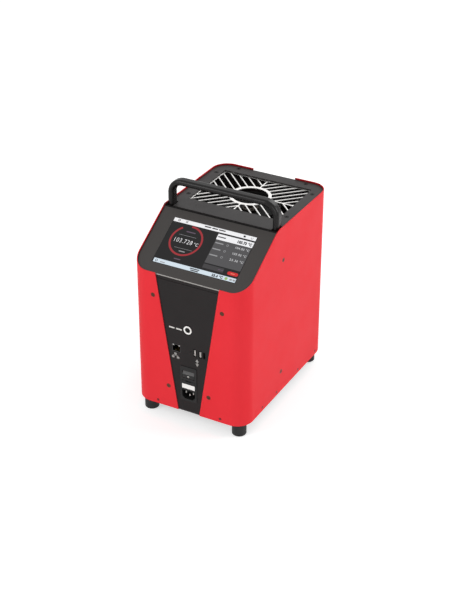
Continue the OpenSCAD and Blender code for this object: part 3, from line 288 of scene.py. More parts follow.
@dataclass(frozen=True)
class TexturedCoat:
    """Dark fine-textured coat with small flecks.

    Attributes:
        colour: Colour of the coat.
        fleck: Colour of the flecks.
        low: Lowest roughness.
        high: Highest roughness.
        gloss: Specular level.
    """

    colour: Colour
    fleck: Colour
    low: float = 0.42
    high: float = 0.52
    gloss: float = 0.5

    def lay(self, shade: Shade) -> None:
        """Lays the finish on a material.

        Args:
            shade: The material's tree.
        """
        shade.set(Specular_IOR_Level=self.gloss)
        flecks = shade.effect(Effects.flecks, Scale=1500.0)
        mix = shade.add("Mix", {"Factor": flecks["Mask"], "A": screen(self.colour), "B": screen(self.fleck)},
                        data_type="RGBA")
        shade.set(Base_Color=mix["Result"])
        shade.rough(self.low, self.high, scale=22.0)
        shade.relief(flecks["Height"], depth=0.00006, strength=0.3)


@dataclass(frozen=True)
class BrushedMetal:
    """Brushed, drawn or plated metal.

    Attributes:
        colour: Linear colour of the metal.
        tint: Linear colour of its slow drift.
        axis: Direction of the lines.
        low: Lowest roughness.
        high: Highest roughness.
    """

    colour: Colour
    tint: Colour
    axis: Axis
    low: float
    high: float

    def lay(self, shade: Shade) -> None:
        """Lays the finish on a material.

        Args:
            shade: The material's tree.
        """
        shade.set(Metallic=1.0)
        shade.paint((*self.colour, 1), (*self.tint, 1), scale=35.0)
        squeezed = shade.add("Mapping", {"Vector": shade.place, "Scale": self.axis.value})["Vector"]
        lines = shade.effect(Effects.brush_lines, squeezed, Scale=1800.0, Low=self.low, High=self.high)
        shade.set(Roughness=lines["Roughness"])
        shade.relief(lines["Height"], depth=0.00002, strength=0.25)


@dataclass(frozen=True)
class Moulded:
    """Moulded plastic, rubber or ceramic with a fine surface.

    Attributes:
        colour: Main colour.
        worn: Colour of the slow drift.
        low: Lowest roughness.
        high: Highest roughness.
        grain: Grains per metre.
        depth: Depth of the grain in metres.
        gloss: Specular level.
        scales: Scales per metre of the drift in colour and in roughness.
        strength: Share of the grain that shows.
    """

    colour: Colour
    worn: Colour
    low: float = 0.35
    high: float = 0.48
    grain: float = 2200.0
    depth: float = 0.00004
    gloss: float = 0.5
    scales: ClassVar[tuple[float, float]] = (70.0, 90.0)
    strength: ClassVar[float] = 0.3

    def lay(self, shade: Shade) -> None:
        """Lays the finish on a material.

        Args:
            shade: The material's tree.
        """
        shade.set(Specular_IOR_Level=self.gloss)
        shade.paint(screen(self.colour), screen(self.worn), self.scales[0])
        shade.rough(self.low, self.high, self.scales[1])
        grain = shade.effect(Effects.paint_grain, Scale=self.grain)
        shade.relief(grain["Height"], self.depth, self.strength)


@dataclass(frozen=True)
class PowderCoat(Moulded):
    """Powder coat with a soft orange peel."""

    low: float = 0.36
    high: float = 0.44
    grain: float = 900.0
    scales: ClassVar[tuple[float, float]] = (9.0, 40.0)
    strength: ClassVar[float] = 0.35


@dataclass(frozen=True)
class LitScreen:
    """Part of a lit screen page, with the raster of its dots.

    Attributes:
        colour: Colour that the screen gives off.
        dimmed: Share of the colour between the dots.
    """

    colour: Colour
    dimmed: ClassVar[float] = 0.82

    def lay(self, shade: Shade) -> None:
        """Lays the finish on a material.

        Args:
            shade: The material's tree.
        """
        *lit, alpha = screen(self.colour)
        gap = (*(self.dimmed * part for part in lit), alpha)
        dots = shade.effect(Effects.raster, Colour=(*lit, alpha), Gap=gap)
        shade.set(Base_Color=(0.01, 0.01, 0.012, 1), Roughness=0.16, Specular_IOR_Level=0.4,
                  Emission_Strength=1.0, Emission_Color=dots["Colour"])


@dataclass(frozen=True)
class Board:
    """Circuit board with its solder mask and the tracks under it.

    Attributes:
        mask: Colour of the solder mask.
        track: Colour over the tracks.
    """

    mask: Colour
    track: Colour

    def lay(self, shade: Shade) -> None:
        """Lays the finish on a material.

        Args:
            shade: The material's tree.
        """
        tracks = shade.add("TexBrick", {
            "Vector": shade.place, "Color1": screen(self.mask), "Color2": screen(self.mask),
            "Mortar": screen(self.track), "Scale": 1.0, "Mortar Size": 0.0006, "Brick Width": 0.011,
            "Row Height": 0.0027,
        })
        shade.set(Base_Color=tracks["Color"])
        shade.rough(low=0.28, high=0.4, scale=60.0)


class Finish(Enum):
    """Every finish of the heater, by the piece or material that shows it; a few stand for painted light or
    shade, as marked below.

    Colours are screen colours, but those of metals are linear.
    """

    CASE_RED = PowderCoat((238, 57, 65), (235, 53, 61), gloss=0.04)
    # Painted shade: deep red for the rim's inner face and top edge above the plates, standing in for the
    # shade there.
    RIM_RED_PAINTED_SHADE = PowderCoat((150, 12, 20), (138, 9, 17), gloss=0.25)
    # Painted shade: dark red-brown for the shells' inner faces, standing in for the shade inside the casing.
    CASE_INSIDE_PAINTED_SHADE = PowderCoat((30, 22, 22), (24, 18, 18), 0.6, 0.7)
    RIVET_RED = PowderCoat((128, 18, 24), (112, 14, 20), 0.34, 0.44, gloss=0.3)
    CONSOLE = TexturedCoat((47, 43, 41), (70, 65, 62), gloss=0.45)
    # Painted highlight: pale grey on the console's bend, standing in for a highlight along its front edge.
    LIP_PAINTED_HIGHLIGHT = PowderCoat((150, 146, 142), (134, 130, 126), 0.3, 0.4)
    TOP_PLATE = TexturedCoat((41, 38, 38), (66, 62, 61), gloss=0.3)
    PANEL = TexturedCoat((27, 23, 23), (39, 35, 34), 0.5, 0.6, gloss=0.2)
    # Painted shade: near-black for the groove between the console and the top plate.
    SEAM = TexturedCoat((10, 9, 9), (16, 15, 15), 0.6, 0.7, gloss=0.12)
    BASE = TexturedCoat((48, 48, 50), (62, 62, 64), 0.5, 0.6)
    FRAME = TexturedCoat((16, 16, 16), (25, 25, 25), 0.6, 0.75, gloss=0.2)
    GRILLE = BrushedMetal((0.95, 0.94, 0.92), (0.9, 0.89, 0.87), Axis.X, 0.34, 0.5)
    GUARD = BrushedMetal((0.55, 0.55, 0.56), (0.48, 0.48, 0.5), Axis.X, 0.25, 0.4)
    PLATED = BrushedMetal((0.62, 0.61, 0.6), (0.54, 0.53, 0.52), Axis.Z, 0.22, 0.36)
    BRONZE = BrushedMetal((0.15, 0.06, 0.04), (0.09, 0.04, 0.027), Axis.Z, 0.3, 0.5)
    BLACK_OXIDE = BrushedMetal((0.014, 0.013, 0.013), (0.008, 0.008, 0.008), Axis.Z, 0.35, 0.5)
    SHIELD = BrushedMetal((0.13, 0.125, 0.13), (0.1, 0.095, 0.1), Axis.Z, 0.3, 0.45)
    SOCKET = BrushedMetal((0.66, 0.65, 0.63), (0.56, 0.55, 0.54), Axis.Y, 0.22, 0.36)
    BLADE = BrushedMetal((0.4, 0.39, 0.37), (0.3, 0.29, 0.28), Axis.Y, 0.22, 0.36)
    PORT = BrushedMetal((0.022, 0.021, 0.02), (0.014, 0.013, 0.013), Axis.Y, 0.35, 0.5)
    BRASS = BrushedMetal((0.66, 0.5, 0.2), (0.56, 0.42, 0.17), Axis.Z, 0.25, 0.38)
    BLOCK = BrushedMetal((0.05, 0.042, 0.034), (0.032, 0.027, 0.022), Axis.X, 0.4, 0.6)
    HEATER = BrushedMetal((0.3, 0.28, 0.26), (0.2, 0.18, 0.17), Axis.X, 0.4, 0.6)
    SINK = BrushedMetal((0.62, 0.63, 0.64), (0.55, 0.56, 0.57), Axis.Z, 0.3, 0.45)
    HANDLE = Moulded((22, 20, 20), (19, 17, 17), 0.24, 0.3, 1800.0, 0.000008, 0.22)
    RUBBER = Moulded((33, 33, 33), (27, 27, 27), 0.5, 0.65, 1600.0, 0.00006, 0.3)
    BLACK = Moulded((20, 20, 20), (15, 15, 15), 0.42, 0.54, gloss=0.3)
    JACK = Moulded((9, 9, 9), (6, 6, 6), 0.5, 0.6, gloss=0.12)
    ROCKER = Moulded((26, 26, 26), (22, 22, 22), 0.3, 0.4, gloss=0.3)
    # Painted highlight: lighter grey for the front of the rocker's upper half, standing in for light falling
    # on it.
    ROCKER_TOP_PAINTED_HIGHLIGHT = Moulded((80, 79, 79), (73, 72, 72), 0.24, 0.34)
    WHITE_RING = Moulded((251, 250, 247), (244, 242, 238), 0.2, 0.3)
    TONGUE = Moulded((198, 191, 187), (186, 179, 175), 0.3, 0.4)
    LAMP = Moulded((16, 13, 13), (12, 10, 10), 0.12, 0.2, gloss=0.3)
    WINDOW = Moulded((206, 204, 200), (192, 190, 186), 0.12, 0.2)
    TAG = Moulded((252, 251, 248), (246, 244, 240), 0.55, 0.7, 3000.0, 0.00003)
    PRINT = Moulded((158, 155, 152), (146, 143, 140), 0.5, 0.6)
    PALE_PRINT = Moulded((226, 223, 219), (214, 211, 207), 0.5, 0.6)
    CERAMIC = Moulded((214, 205, 188), (202, 192, 174), 0.5, 0.65)
    RESIN = Moulded((92, 74, 58), (78, 62, 48), 0.35, 0.5)
    WOOL = Moulded((60, 57, 52), (42, 40, 36), 0.9, 1.0, 1200.0, 0.0006)
    CORE = Moulded((104, 88, 70), (84, 70, 54), 0.3, 0.5)
    MODULE = Moulded((120, 122, 124), (106, 108, 110), 0.4, 0.55)
    GLASS = Moulded((20, 19, 20), (17, 16, 17), 0.14, 0.2, 4000.0, 0.000002, 0.28)
    GREEN_BOARD = Board((22, 84, 48), (34, 112, 62))
    LIT_WHITE = LitScreen((244, 244, 246))
    LIT_ICE = LitScreen((214, 228, 238))
    LIT_GREY = LitScreen((70, 69, 70))
    LIT_MID = LitScreen((150, 150, 152))
    LIT_DIM = LitScreen((46, 44, 45))
    LIT_PLUM = LitScreen((88, 70, 88))
    LIT_PALE = LitScreen((204, 204, 206))
    LIT_RING = LitScreen((158, 8, 24))
    LIT_BUTTON = LitScreen((208, 2, 2))
    LIT_CORAL = LitScreen((240, 128, 100))
    LIT_INK = LitScreen((22, 21, 24))
    LIT_GREEN = LitScreen((150, 186, 104))

    def material(self) -> Any:
        """Finds the material of this finish, or builds it on first use.

        Returns:
            The material.
        """
        name = f"finish_{self.name.lower()}"
        if name not in bpy.data.materials:
            self.value.lay(Shade(name))
        return bpy.data.materials[name]


class Workshop:
    """Turns meshes into named pieces that ride on a body.

    Attributes:
        slots: Material slot of each node, from the record.
        sharp: Angle from which an edge is shaded as sharp.
        broken: Angle from which an edge is broken.
        flat: Angle up to which neighbouring faces are joined.
        merge: Distance up to which vertices are merged, in metres.
    """

    slots = {row["node"]: row["material_slot"] for row in frame["record"]["subparts"]}
    sharp = math.radians(38)
    broken = math.radians(35)
    flat = math.radians(0.6)
    merge = 0.000004

    @classmethod
    def piece(cls, name: str, bm: Any, finishes: Sequence[Finish], body: Body, slot: str) -> Any:
        """Makes an object of a bmesh and lets it ride on a body.

        Args:
            name: The piece's name.
            bm: The bmesh, which is freed.
            finishes: Finishes in the order of the faces' material numbers.
            body: Body that the piece rides on.
            slot: Material slot of the record; not used.

        Returns:
            The new object.
        """
        mesh = bpy.data.meshes.new(name)
        bm.to_mesh(mesh)
        bm.free()
        for finish in finishes:
            mesh.materials.append(finish.material())
        mesh.polygons.foreach_set("use_smooth", [True] * len(mesh.polygons))
        mesh.set_sharp_from_angle(angle=cls.sharp)
        piece = bpy.data.objects.new(name, mesh)
        bpy.context.scene.collection.objects.link(piece)
        even = piece.modifiers.new("even_shading", "WEIGHTED_NORMAL")
        even.keep_sharp = True
        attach(piece, body.value)
        LOG.info("%s: %d faces on %s", name, len(mesh.polygons), body.value)
        return piece

    @classmethod
    def copy_of(cls, node: str) -> Any:
        """Copies a node's mesh, with its doubles merged and its flat faces joined.

        Args:
            node: The node's name.

        Returns:
            The bmesh.
        """
        bm = bmesh.new()
        bm.from_mesh(frame["nodes"][node].data)
        bmesh.ops.remove_doubles(bm, verts=bm.verts[:], dist=cls.merge)
        bmesh.ops.dissolve_limit(bm, angle_limit=cls.flat, verts=bm.verts[:], edges=bm.edges[:])
        return bm

    @classmethod
    def replace(cls, node: str, bm: Any, finishes: Sequence[Finish], width: float,
                body: Body = Body.HOUSING) -> None:
        """Breaks the sharp edges of a node's copy and puts it in the node's place.

        Args:
            node: The node's name.
            bm: The copy, which is freed.
            finishes: Finishes in the order of the faces' material numbers.
            width: Width of the edge break in millimetres.
            body: Body that the copy rides on.
        """
        edges = [edge for edge in bm.edges
                 if len(edge.link_faces) == 2 and edge.calc_face_angle(0.0) > cls.broken]
        bmesh.ops.bevel(bm, geom=edges, offset=width * MM, offset_type="OFFSET", affect="EDGES",
                        segments=2, profile=0.5, material=-1, clamp_overlap=False)
        piece = cls.piece(f"{node}_skin", bm, finishes, body, cls.slots[node])
        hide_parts(node)

    @staticmethod
    def dress(node: str, finish: Finish) -> None:
        """Gives a node that stays its finish.

        Args:
            node: The node's name.
            finish: The finish.
        """
        target = frame["nodes"][node]
        if not target.material_slots:
            target.data.materials.append(finish.material())
        for place in target.material_slots:
            place.material = finish.material()
        LOG.info("%s: %s", node, finish.name)


class Print:
    """Thin printed or lit layers on a flat face, gathered by finish.

    The face is laid out in millimetres, as across, up and out.

    Attributes:
        lift: Gap between the face and the first layer.
        merge: Distance up to which vertices are merged.
        step: Angle of one step of an arc, in degrees.
    """

    lift = 0.01
    merge = 0.0005
    step = 6.0

    def __init__(self, plane: Matrix, layer: float = 0.06) -> None:
        """Starts an empty print.

        Args:
            plane: Place of the face, from millimetres on it to metres.
            layer: Thickness of one layer in millimetres.
        """
        self.plane = plane
        self.layer = layer
        self.sheets: dict[Finish, Any] = {}

    @staticmethod
    def face(place: Place, lean: float) -> Matrix:
        """Matrix of a face with its origin in millimetres and its lean from flat in degrees."""
        turn = Matrix.Rotation(math.radians(lean), 4, "X")
        return Matrix.Scale(MM, 4) @ Matrix.Translation(place) @ turn

    def sheet(self, finish: Finish) -> Any:
        """Finds the bmesh that gathers one finish, or starts it.

        Args:
            finish: The finish.

        Returns:
            The bmesh.
        """
        if finish not in self.sheets:
            self.sheets[finish] = bmesh.new()
        return self.sheets[finish]

    def out(self, level: int) -> float:
        """Height of the middle of a layer over the face."""
        return self.lift + (level + 0.5) * self.layer

    def bars(self, finish: Finish, *boxes: Box, level: int = 0, corner: float = 0.0) -> None:
        """Adds bars.

        Args:
            finish: Their finish.
            *boxes: Left, right, lower and upper edge of each.
            level: Layer that they lie in.
            corner: Radius of their corners.
        """
        bm = self.sheet(finish)
        for left, right, low, high in boxes:
            place = Matrix.Translation(((left + right) / 2, (low + high) / 2, self.out(level)))
            size = Matrix.Diagonal((right - left, high - low, self.layer, 1))
            corners = set(bmesh.ops.create_cube(bm, size=1.0, matrix=place @ size)["verts"])
            if corner:
                upright = [edge for edge in bm.edges if corners.issuperset(edge.verts)
                           and abs(edge.verts[0].co.z - edge.verts[1].co.z) > self.layer / 2]
                bmesh.ops.bevel(bm, geom=upright, offset=corner, offset_type="OFFSET", affect="EDGES",
                                segments=5, profile=0.5, material=-1)

    def arc(self, finish: Finish, across: float, up: float, inner: float, outer: float, start: float = 0.0,
            sweep: float = 360.0, level: int = 0) -> None:
        """Adds a ring or a part of one.

        Args:
            finish: Its finish.
            across: Place of its middle across the face.
            up: Place of its middle up the face.
            inner: Inner radius.
            outer: Outer radius.
            start: Angle of its start in degrees.
            sweep: Angle that it runs through.
            level: Layer that it lies in.
        """
        bm = self.sheet(finish)
        middle = Vector((across, up, 0))
        profile = (Matrix.Translation(middle) @ Matrix.Rotation(math.radians(start), 4, "Z")
                   @ Matrix.Translation(((inner + outer) / 2, 0, self.out(level)))
                   @ Matrix.Rotation(math.radians(90), 4, "X")
                   @ Matrix.Diagonal((outer - inner, self.layer, 1, 1)))
        corners = bmesh.ops.create_grid(bm, x_segments=1, y_segments=1, size=0.5, matrix=profile)["verts"]
        faces = [face for face in bm.faces if set(face.verts) == set(corners)]
        edges = [edge for edge in bm.edges if set(corners).issuperset(edge.verts)]
        bmesh.ops.delete(bm, geom=faces, context="FACES_ONLY")
        bmesh.ops.spin(bm, geom=list(corners) + edges, cent=middle, axis=(0, 0, 1),
                       angle=math.radians(sweep), steps=int(sweep / self.step), use_merge=sweep >= 360.0)
        bmesh.ops.holes_fill(bm, edges=[edge for edge in bm.edges if edge.is_boundary], sides=4)

    def tip(self, finish: Finish, across: float, up: float, radius: float, turn: float) -> None:
        """Adds a triangle.

        Args:
            finish: Its finish.
            across: Place of its middle across the face.
            up: Place of its middle up the face.
            radius: Distance of its corners from the middle.
            turn: Angle that its upper corner is turned by, in degrees.
        """
        place = Matrix.Translation((across, up, self.out(0)))
        bmesh.ops.create_cone(self.sheet(finish), cap_ends=True, segments=3, radius1=radius, radius2=radius,
                              depth=self.layer, matrix=place @ Matrix.Rotation(math.radians(turn), 4, "Z"))

    def words(self, finish: Finish, text: str, box: Box, level: int = 1, weight: float = 0.0) -> None:
        """Adds plain figures, stretched into a box.

        Args:
            finish: Their finish.
            text: The figures.
            box: Left, right, lower and upper edge.
            level: Layer that they lie in.
            weight: Growth of the strokes, for a size of 10.
        """
        data = bpy.data.curves.new("figures", "FONT")
        data.body = text
        data.size = 10.0
        data.offset = weight
        data.space_character = 1.15
        data.resolution_u = 3
        data.extrude = 0.5
        holder = bpy.data.objects.new("figures", data)
        mesh = bpy.data.meshes.new_from_object(holder)
        low_end = [min(vert.co[i] for vert in mesh.vertices) for i in range(2)]
        high_end = [max(vert.co[i] for vert in mesh.vertices) for i in range(2)]
        left, right, low, high = box
        size = Matrix.Diagonal(((right - left) / (high_end[0] - low_end[0]),
                                (high - low) / (high_end[1] - low_end[1]), self.layer, 1))
        place = Matrix.Translation((left, low, self.out(level)))
        mesh.transform(place @ size @ Matrix.Translation((-low_end[0], -low_end[1], 0)))
        self.sheet(finish).from_mesh(mesh)
        bpy.data.meshes.remove(mesh)
        bpy.data.objects.remove(holder)
        bpy.data.curves.remove(data)

    def done(self, name: str, body: Body, slot: str) -> None:
        """Turns every finish of the print into a piece.

        Args:
            name: First part of the pieces' names.
            body: Body that they ride on.
            slot: Material slot of the record.
        """
        for finish, bm in self.sheets.items():
            bmesh.ops.remove_doubles(bm, verts=bm.verts[:], dist=self.merge)
            bmesh.ops.recalc_face_normals(bm, faces=bm.faces[:])
            bmesh.ops.transform(bm, matrix=self.plane, verts=bm.verts[:])
            Workshop.piece(f"{name}_{finish.name.lower()}", bm, [finish], body, slot)


@dataclass
class Assembly:
    """Sub-assembly whose nodes get their finishes.

    Attributes:
        skins: Nodes that a copy with broken edges replaces: name, finish, width of the edge break in
            millimetres and, off the housing, the body.
        plain: Nodes that stay: a finish and the names of its nodes.
    """

    skins: Rows = ()
    plain: Rows = ()

    def build(self) -> None:
        """Gives the nodes their finishes."""
        for node, finish, *rest in self.skins:
            Workshop.replace(node, Workshop.copy_of(node), [finish], *rest)
        for finish, *nodes in self.plain:
            for node in nodes:
                Workshop.dress(node, finish)


@dataclass
class Casing(Assembly):
    """Red shells, plates, handle, feet and fasteners.

    Attributes:
        width: Width over the shells, in millimetres.
        depth: Depth over the shells.
        corner: Radius of the upright corners.
        sheet: Thickness of the shells.
        near: Distance up to which a face's middle counts as lying on a surface.
    """

    skins: Rows = (
        ("top_plate", Finish.TOP_PLATE, 0.3), ("front_panel", Finish.PANEL, 0.2),
        ("rear_panel", Finish.PANEL, 0.2), ("base_plate", Finish.BASE, 0.25),
        ("guard_grille", Finish.GRILLE, 0.3), ("handle", Finish.HANDLE, 0.2),
        ("case_screws", Finish.BRONZE, 0.15), ("top_plate_screws", Finish.BLACK_OXIDE, 0.15),
        ("case_rivets", Finish.RIVET_RED, 0.3), ("foot_screws", Finish.PLATED, 0.2),
        *((f"foot_{corner}", Finish.RUBBER, 0.6)
          for corner in ("front_left", "front_right", "rear_left", "rear_right")),
    )
    plain: Rows = (
        (Finish.FRAME, "left_side_frame", "right_side_frame", "handle_beam", "baffle"),
        (Finish.PLATED, "handle_screws"),
    )
    width: float = 215.0
    depth: float = 308.0
    corner: float = 30.0
    sheet: float = 1.5
    near: float = 0.3

    def depth_in_wall(self, place: Vector) -> float:
        """Measures how far a place lies from the shells' outer face.

        Args:
            place: Place in metres.

        Returns:
            The distance in millimetres, negative inside.
        """
        across = abs(place.x) / MM - (self.width / 2 - self.corner)
        along = abs(place.y) / MM - (self.depth / 2 - self.corner)
        outside = math.hypot(max(across, 0.0), max(along, 0.0))
        return outside + min(max(across, along), 0.0) - self.corner

    @staticmethod
    def roof(y: float) -> float:
        """Height of the plates in millimetres, at a place along Y in metres."""
        return min(PLATE_TOP, BROW + (y / MM - FRONT) * math.tan(math.radians(SLOPE)))

    def shell(self, node: str) -> None:
        """Builds one shell: red outside, with a dark painted shade on its inner faces and a deep red painted
        shade on the rim above the plates.

        Args:
            node: The shell's node.
        """
        bm = Workshop.copy_of(node)
        tilt = math.radians(SLOPE)
        for place, normal in (
            ((0, 0, PLATE_TOP), (0, 0, 1)),
            ((0, FRONT, BROW), (0, -math.sin(tilt), math.cos(tilt))),
        ):
            bmesh.ops.bisect_plane(bm, geom=bm.verts[:] + bm.edges[:] + bm.faces[:], dist=0.002 * MM,
                                   plane_co=Vector(place) * MM, plane_no=normal)
        for face in bm.faces:
            middle = face.calc_center_median()
            inner = abs(self.depth_in_wall(middle) + self.sheet) < self.near
            above = middle.z / MM > self.roof(middle.y)
            upper = abs(self.depth_in_wall(middle) + self.sheet / 2) < self.near
            # Painted shade: inner faces get the dark finish, and above the plates the inner face and the
            # rim's top edge get the deep red one.
            face.material_index = (2 if inner or upper else 0) if above else int(inner)
        Workshop.replace(node, bm, [Finish.CASE_RED, Finish.CASE_INSIDE_PAINTED_SHADE, Finish.RIM_RED_PAINTED_SHADE], width=0.35)

    def console(self) -> None:
        """Builds the console with a painted highlight on its bend, painted shade on its lip's front face and
        a near-black strip of painted shade for the groove at its upper end.
        """
        bm = Workshop.copy_of("console_panel")
        steep = math.sin(math.radians(SLOPE))
        upright, bent = -0.93, -steep - 0.14
        # Painted shade: front faces of the lip get the panel's dark finish; painted highlight: faces of the
        # bend get the pale finish.
        for face in bm.faces:
            if face.normal.y < upright:
                face.material_index = 1
            elif face.normal.y < bent:
                face.material_index = 2
        Workshop.replace("console_panel", bm, [Finish.CONSOLE, Finish.PANEL, Finish.LIP_PAINTED_HIGHLIGHT], width=0.3)
        # Painted shade: a thin near-black strip where the groove between console and top plate is in shade.
        groove_shade = Print(Print.face((0, FRONT, BROW), SLOPE), layer=0.12)
        half, end = self.width / 2 - 2 * self.sheet, (PLATE_TOP - BROW) / steep
        reach, gap = 2.5, 0.4
        groove_shade.bars(Finish.SEAM, (-half, half, end - reach, end - gap))
        groove_shade.done("joint", Body.HOUSING, Workshop.slots["console_panel"])

    def build(self) -> None:
        """Builds the shells and the console and finishes the rest."""
        for node in ("left_case_shell", "right_case_shell"):
            self.shell(node)
        self.console()
        super().build()


@dataclass
class FrontSockets(Assembly):
    """Round sensor socket, network jack, upright ports and the mains inlet.

    Attributes:
        panel: Place of the panel's face along Y, in millimetres.
        jack: Middle of the network jack, across and up.
        jack_half: Half the width and height of the jack's face.
        ports: Middles of the ports that have a tongue, at the height of the jack.
        pivot: Pivot of the rocker along Y and up.
        lean: Angle of the rocker at rest, in degrees.
        ridge: Distance of the rocker's ridge ahead of its pivot.
    """

    skins: Rows = (
        ("sensor_ring", Finish.WHITE_RING, 0.4), ("network_jack", Finish.JACK, 0.15),
        ("port_shells", Finish.PORT, 0.1), ("inlet_housing", Finish.BLACK, 0.25),
        ("fuse_drawer", Finish.BLACK, 0.2, Body.DRAWER),
    )
    plain: Rows = (
        (Finish.SOCKET, "sensor_shell"), (Finish.BLACK, "sensor_insert"), (Finish.BRASS, "jack_contacts"),
        (Finish.TONGUE, "port_tongues"), (Finish.LAMP, "status_light"), (Finish.BLADE, "inlet_blades"),
        (Finish.TAG, "drawer_tag"), (Finish.CERAMIC, "fuses"),
    )
    panel: float = -152.5
    jack: tuple[float, float] = (-22.8, 148.0)
    jack_half: tuple[float, float] = (8.0, 6.8)
    ports: tuple[float, float] = (12.8, 23.0)
    pivot: tuple[float, float] = (-150.5, 101.1)
    lean: float = 10.0
    ridge: float = 3.4

    def rocker(self) -> None:
        """Builds the rocker with a painted highlight on the front of its upper half and a round mark on the
        lower half.
        """
        bm = Workshop.copy_of("rocker_switch")
        ahead = -0.5
        # Painted highlight: front faces of the upper half get a lighter grey.
        for face in bm.faces:
            upper = face.calc_center_median().z / MM > self.pivot[1]
            face.material_index = int(face.normal.y < ahead and upper)
        Workshop.replace("rocker_switch", bm, [Finish.ROCKER, Finish.ROCKER_TOP_PAINTED_HIGHLIGHT], 0.35, Body.ROCKER)
        turn = Matrix.Rotation(math.radians(-self.lean), 4, "X")
        plane = (Print.face((0, *self.pivot), 0) @ turn @ Matrix.Translation((0, -self.ridge, 0))
                 @ Matrix.Rotation(math.radians(90 + self.lean), 4, "X"))
        mark = Print(plane)
        mark.arc(Finish.PALE_PRINT, across=0, up=-3.6, inner=0.9, outer=1.6)
        mark.done("rocker_mark", Body.ROCKER, Workshop.slots["rocker_switch"])

    def panel_marks(self) -> None:
        """Prints plain marks on the panel: dashes, a net of three boxes and a double arrow."""
        marks = Print(Print.face((0, self.panel, 0), 90))
        low, high = 184.9, 187.5
        marks.bars(Finish.PALE_PRINT, (-36.0, -25.6, low, high), (-22.4, -11.4, low, high))
        x, up = -24.6, 133.0
        wide, tall = 4.8, 3.6
        for left, low in ((x - 2.4, up + 1.6), (x - 7.2, up - 5.0), (x + 2.4, up - 5.0)):
            marks.bars(Finish.PRINT, (left, left + wide, low, low + tall))
        wide, tall = 0.8, 1.1
        marks.bars(Finish.PRINT, (x - 5.2, x + 5.2, up - 0.3, up + 0.5))
        for left, low in ((x - 5.2, up - 1.4), (x - 0.4, up + 0.5), (x + 4.4, up - 1.4)):
            marks.bars(Finish.PRINT, (left, left + wide, low, low + tall))
        x, low, high = 17.0, 128.4, 132.2
        marks.bars(Finish.PRINT, (x - wide, x + wide, low, high))
        for up, turn in ((134.0, 0), (126.6, 180)):
            marks.tip(Finish.PRINT, x, up, radius=3.6, turn=turn)
        marks.done("panel_mark", Body.HOUSING, Workshop.slots["front_panel"])

    def jack_trim(self) -> None:
        """Lays the thin shield edge and the two lamp windows on the jack's face."""
        sunk = 0.3
        trim = Print(Print.face((0, self.panel + sunk, 0), 90), layer=0.2)
        (x, up), (wide, tall), edge = self.jack, self.jack_half, 0.45
        for left, right, low, high in (
            (-wide, wide, tall - edge, tall), (-wide, wide, -tall, edge - tall),
            (-wide, edge - wide, edge - tall, tall - edge), (wide - edge, wide, edge - tall, tall - edge),
        ):
            trim.bars(Finish.SHIELD, (x + left, x + right, up + low, up + high))
        aside, half, low, high = 5.6, 1.3, 4.6, 6.1
        for middle in (x - aside, x + aside):
            trim.bars(Finish.WINDOW, (middle - half, middle + half, up + low, up + high))
        trim.done("jack_trim", Body.HOUSING, Workshop.slots["network_jack"])

    def tongue_ends(self) -> None:
        """Carries the tongues of the ports on to near the panel's face."""
        back, length, up = 3.2, 1.8, self.jack[1]
        left, right, half = 2.15, 1.05, 5.8
        ends = Print(Print.face((0, self.panel + back, 0), 90), length)
        for x in self.ports:
            ends.bars(Finish.TONGUE, (x - left, x + right, up - half, up + half))
        ends.done("port_end", Body.HOUSING, Workshop.slots["port_tongues"])

    def build(self) -> None:
        """Finishes the sockets and the inlet module and adds their marks."""
        super().build()
        self.rocker()
        self.panel_marks()
        self.jack_trim()
        self.tongue_ends()


@dataclass
class HotHalf(Assembly):
    """Heated block, insulation, sleeve and fan behind the baffle."""

    skins: Rows = (
        ("adapter_sleeve", Finish.BLOCK, 0.4, Body.SLEEVE), ("well_collar", Finish.FRAME, 0.3),
        ("fan_guard", Finish.GUARD, 0.2), ("fan_screws", Finish.PLATED, 0.2),
    )
    plain: Rows = (
        (Finish.FRAME, "block_deck", "heat_shield"), (Finish.CERAMIC, "block_posts"),
        (Finish.BLOCK, "heated_block"), (Finish.HEATER, "heater_cartridges", "reference_sensor"),
        (Finish.RESIN, "thermal_cutout"), (Finish.WOOL, "insulation"),
        (Finish.BLACK, "fan_frame", "fan_rotor"),
    )


@dataclass
class Electronics(Assembly):
    """Boards and the pieces on them, ahead of the baffle."""

    plain: Rows = (
        (Finish.MODULE, "display_module"),
        (Finish.GREEN_BOARD, "display_board", "interface_board", "power_board"),
        (Finish.BRASS, "board_posts"), (Finish.PLATED, "line_filter"), (Finish.CORE, "transformer"),
        (Finish.SINK, "heat_sink"), (Finish.BLACK, "power_relay"),
    )


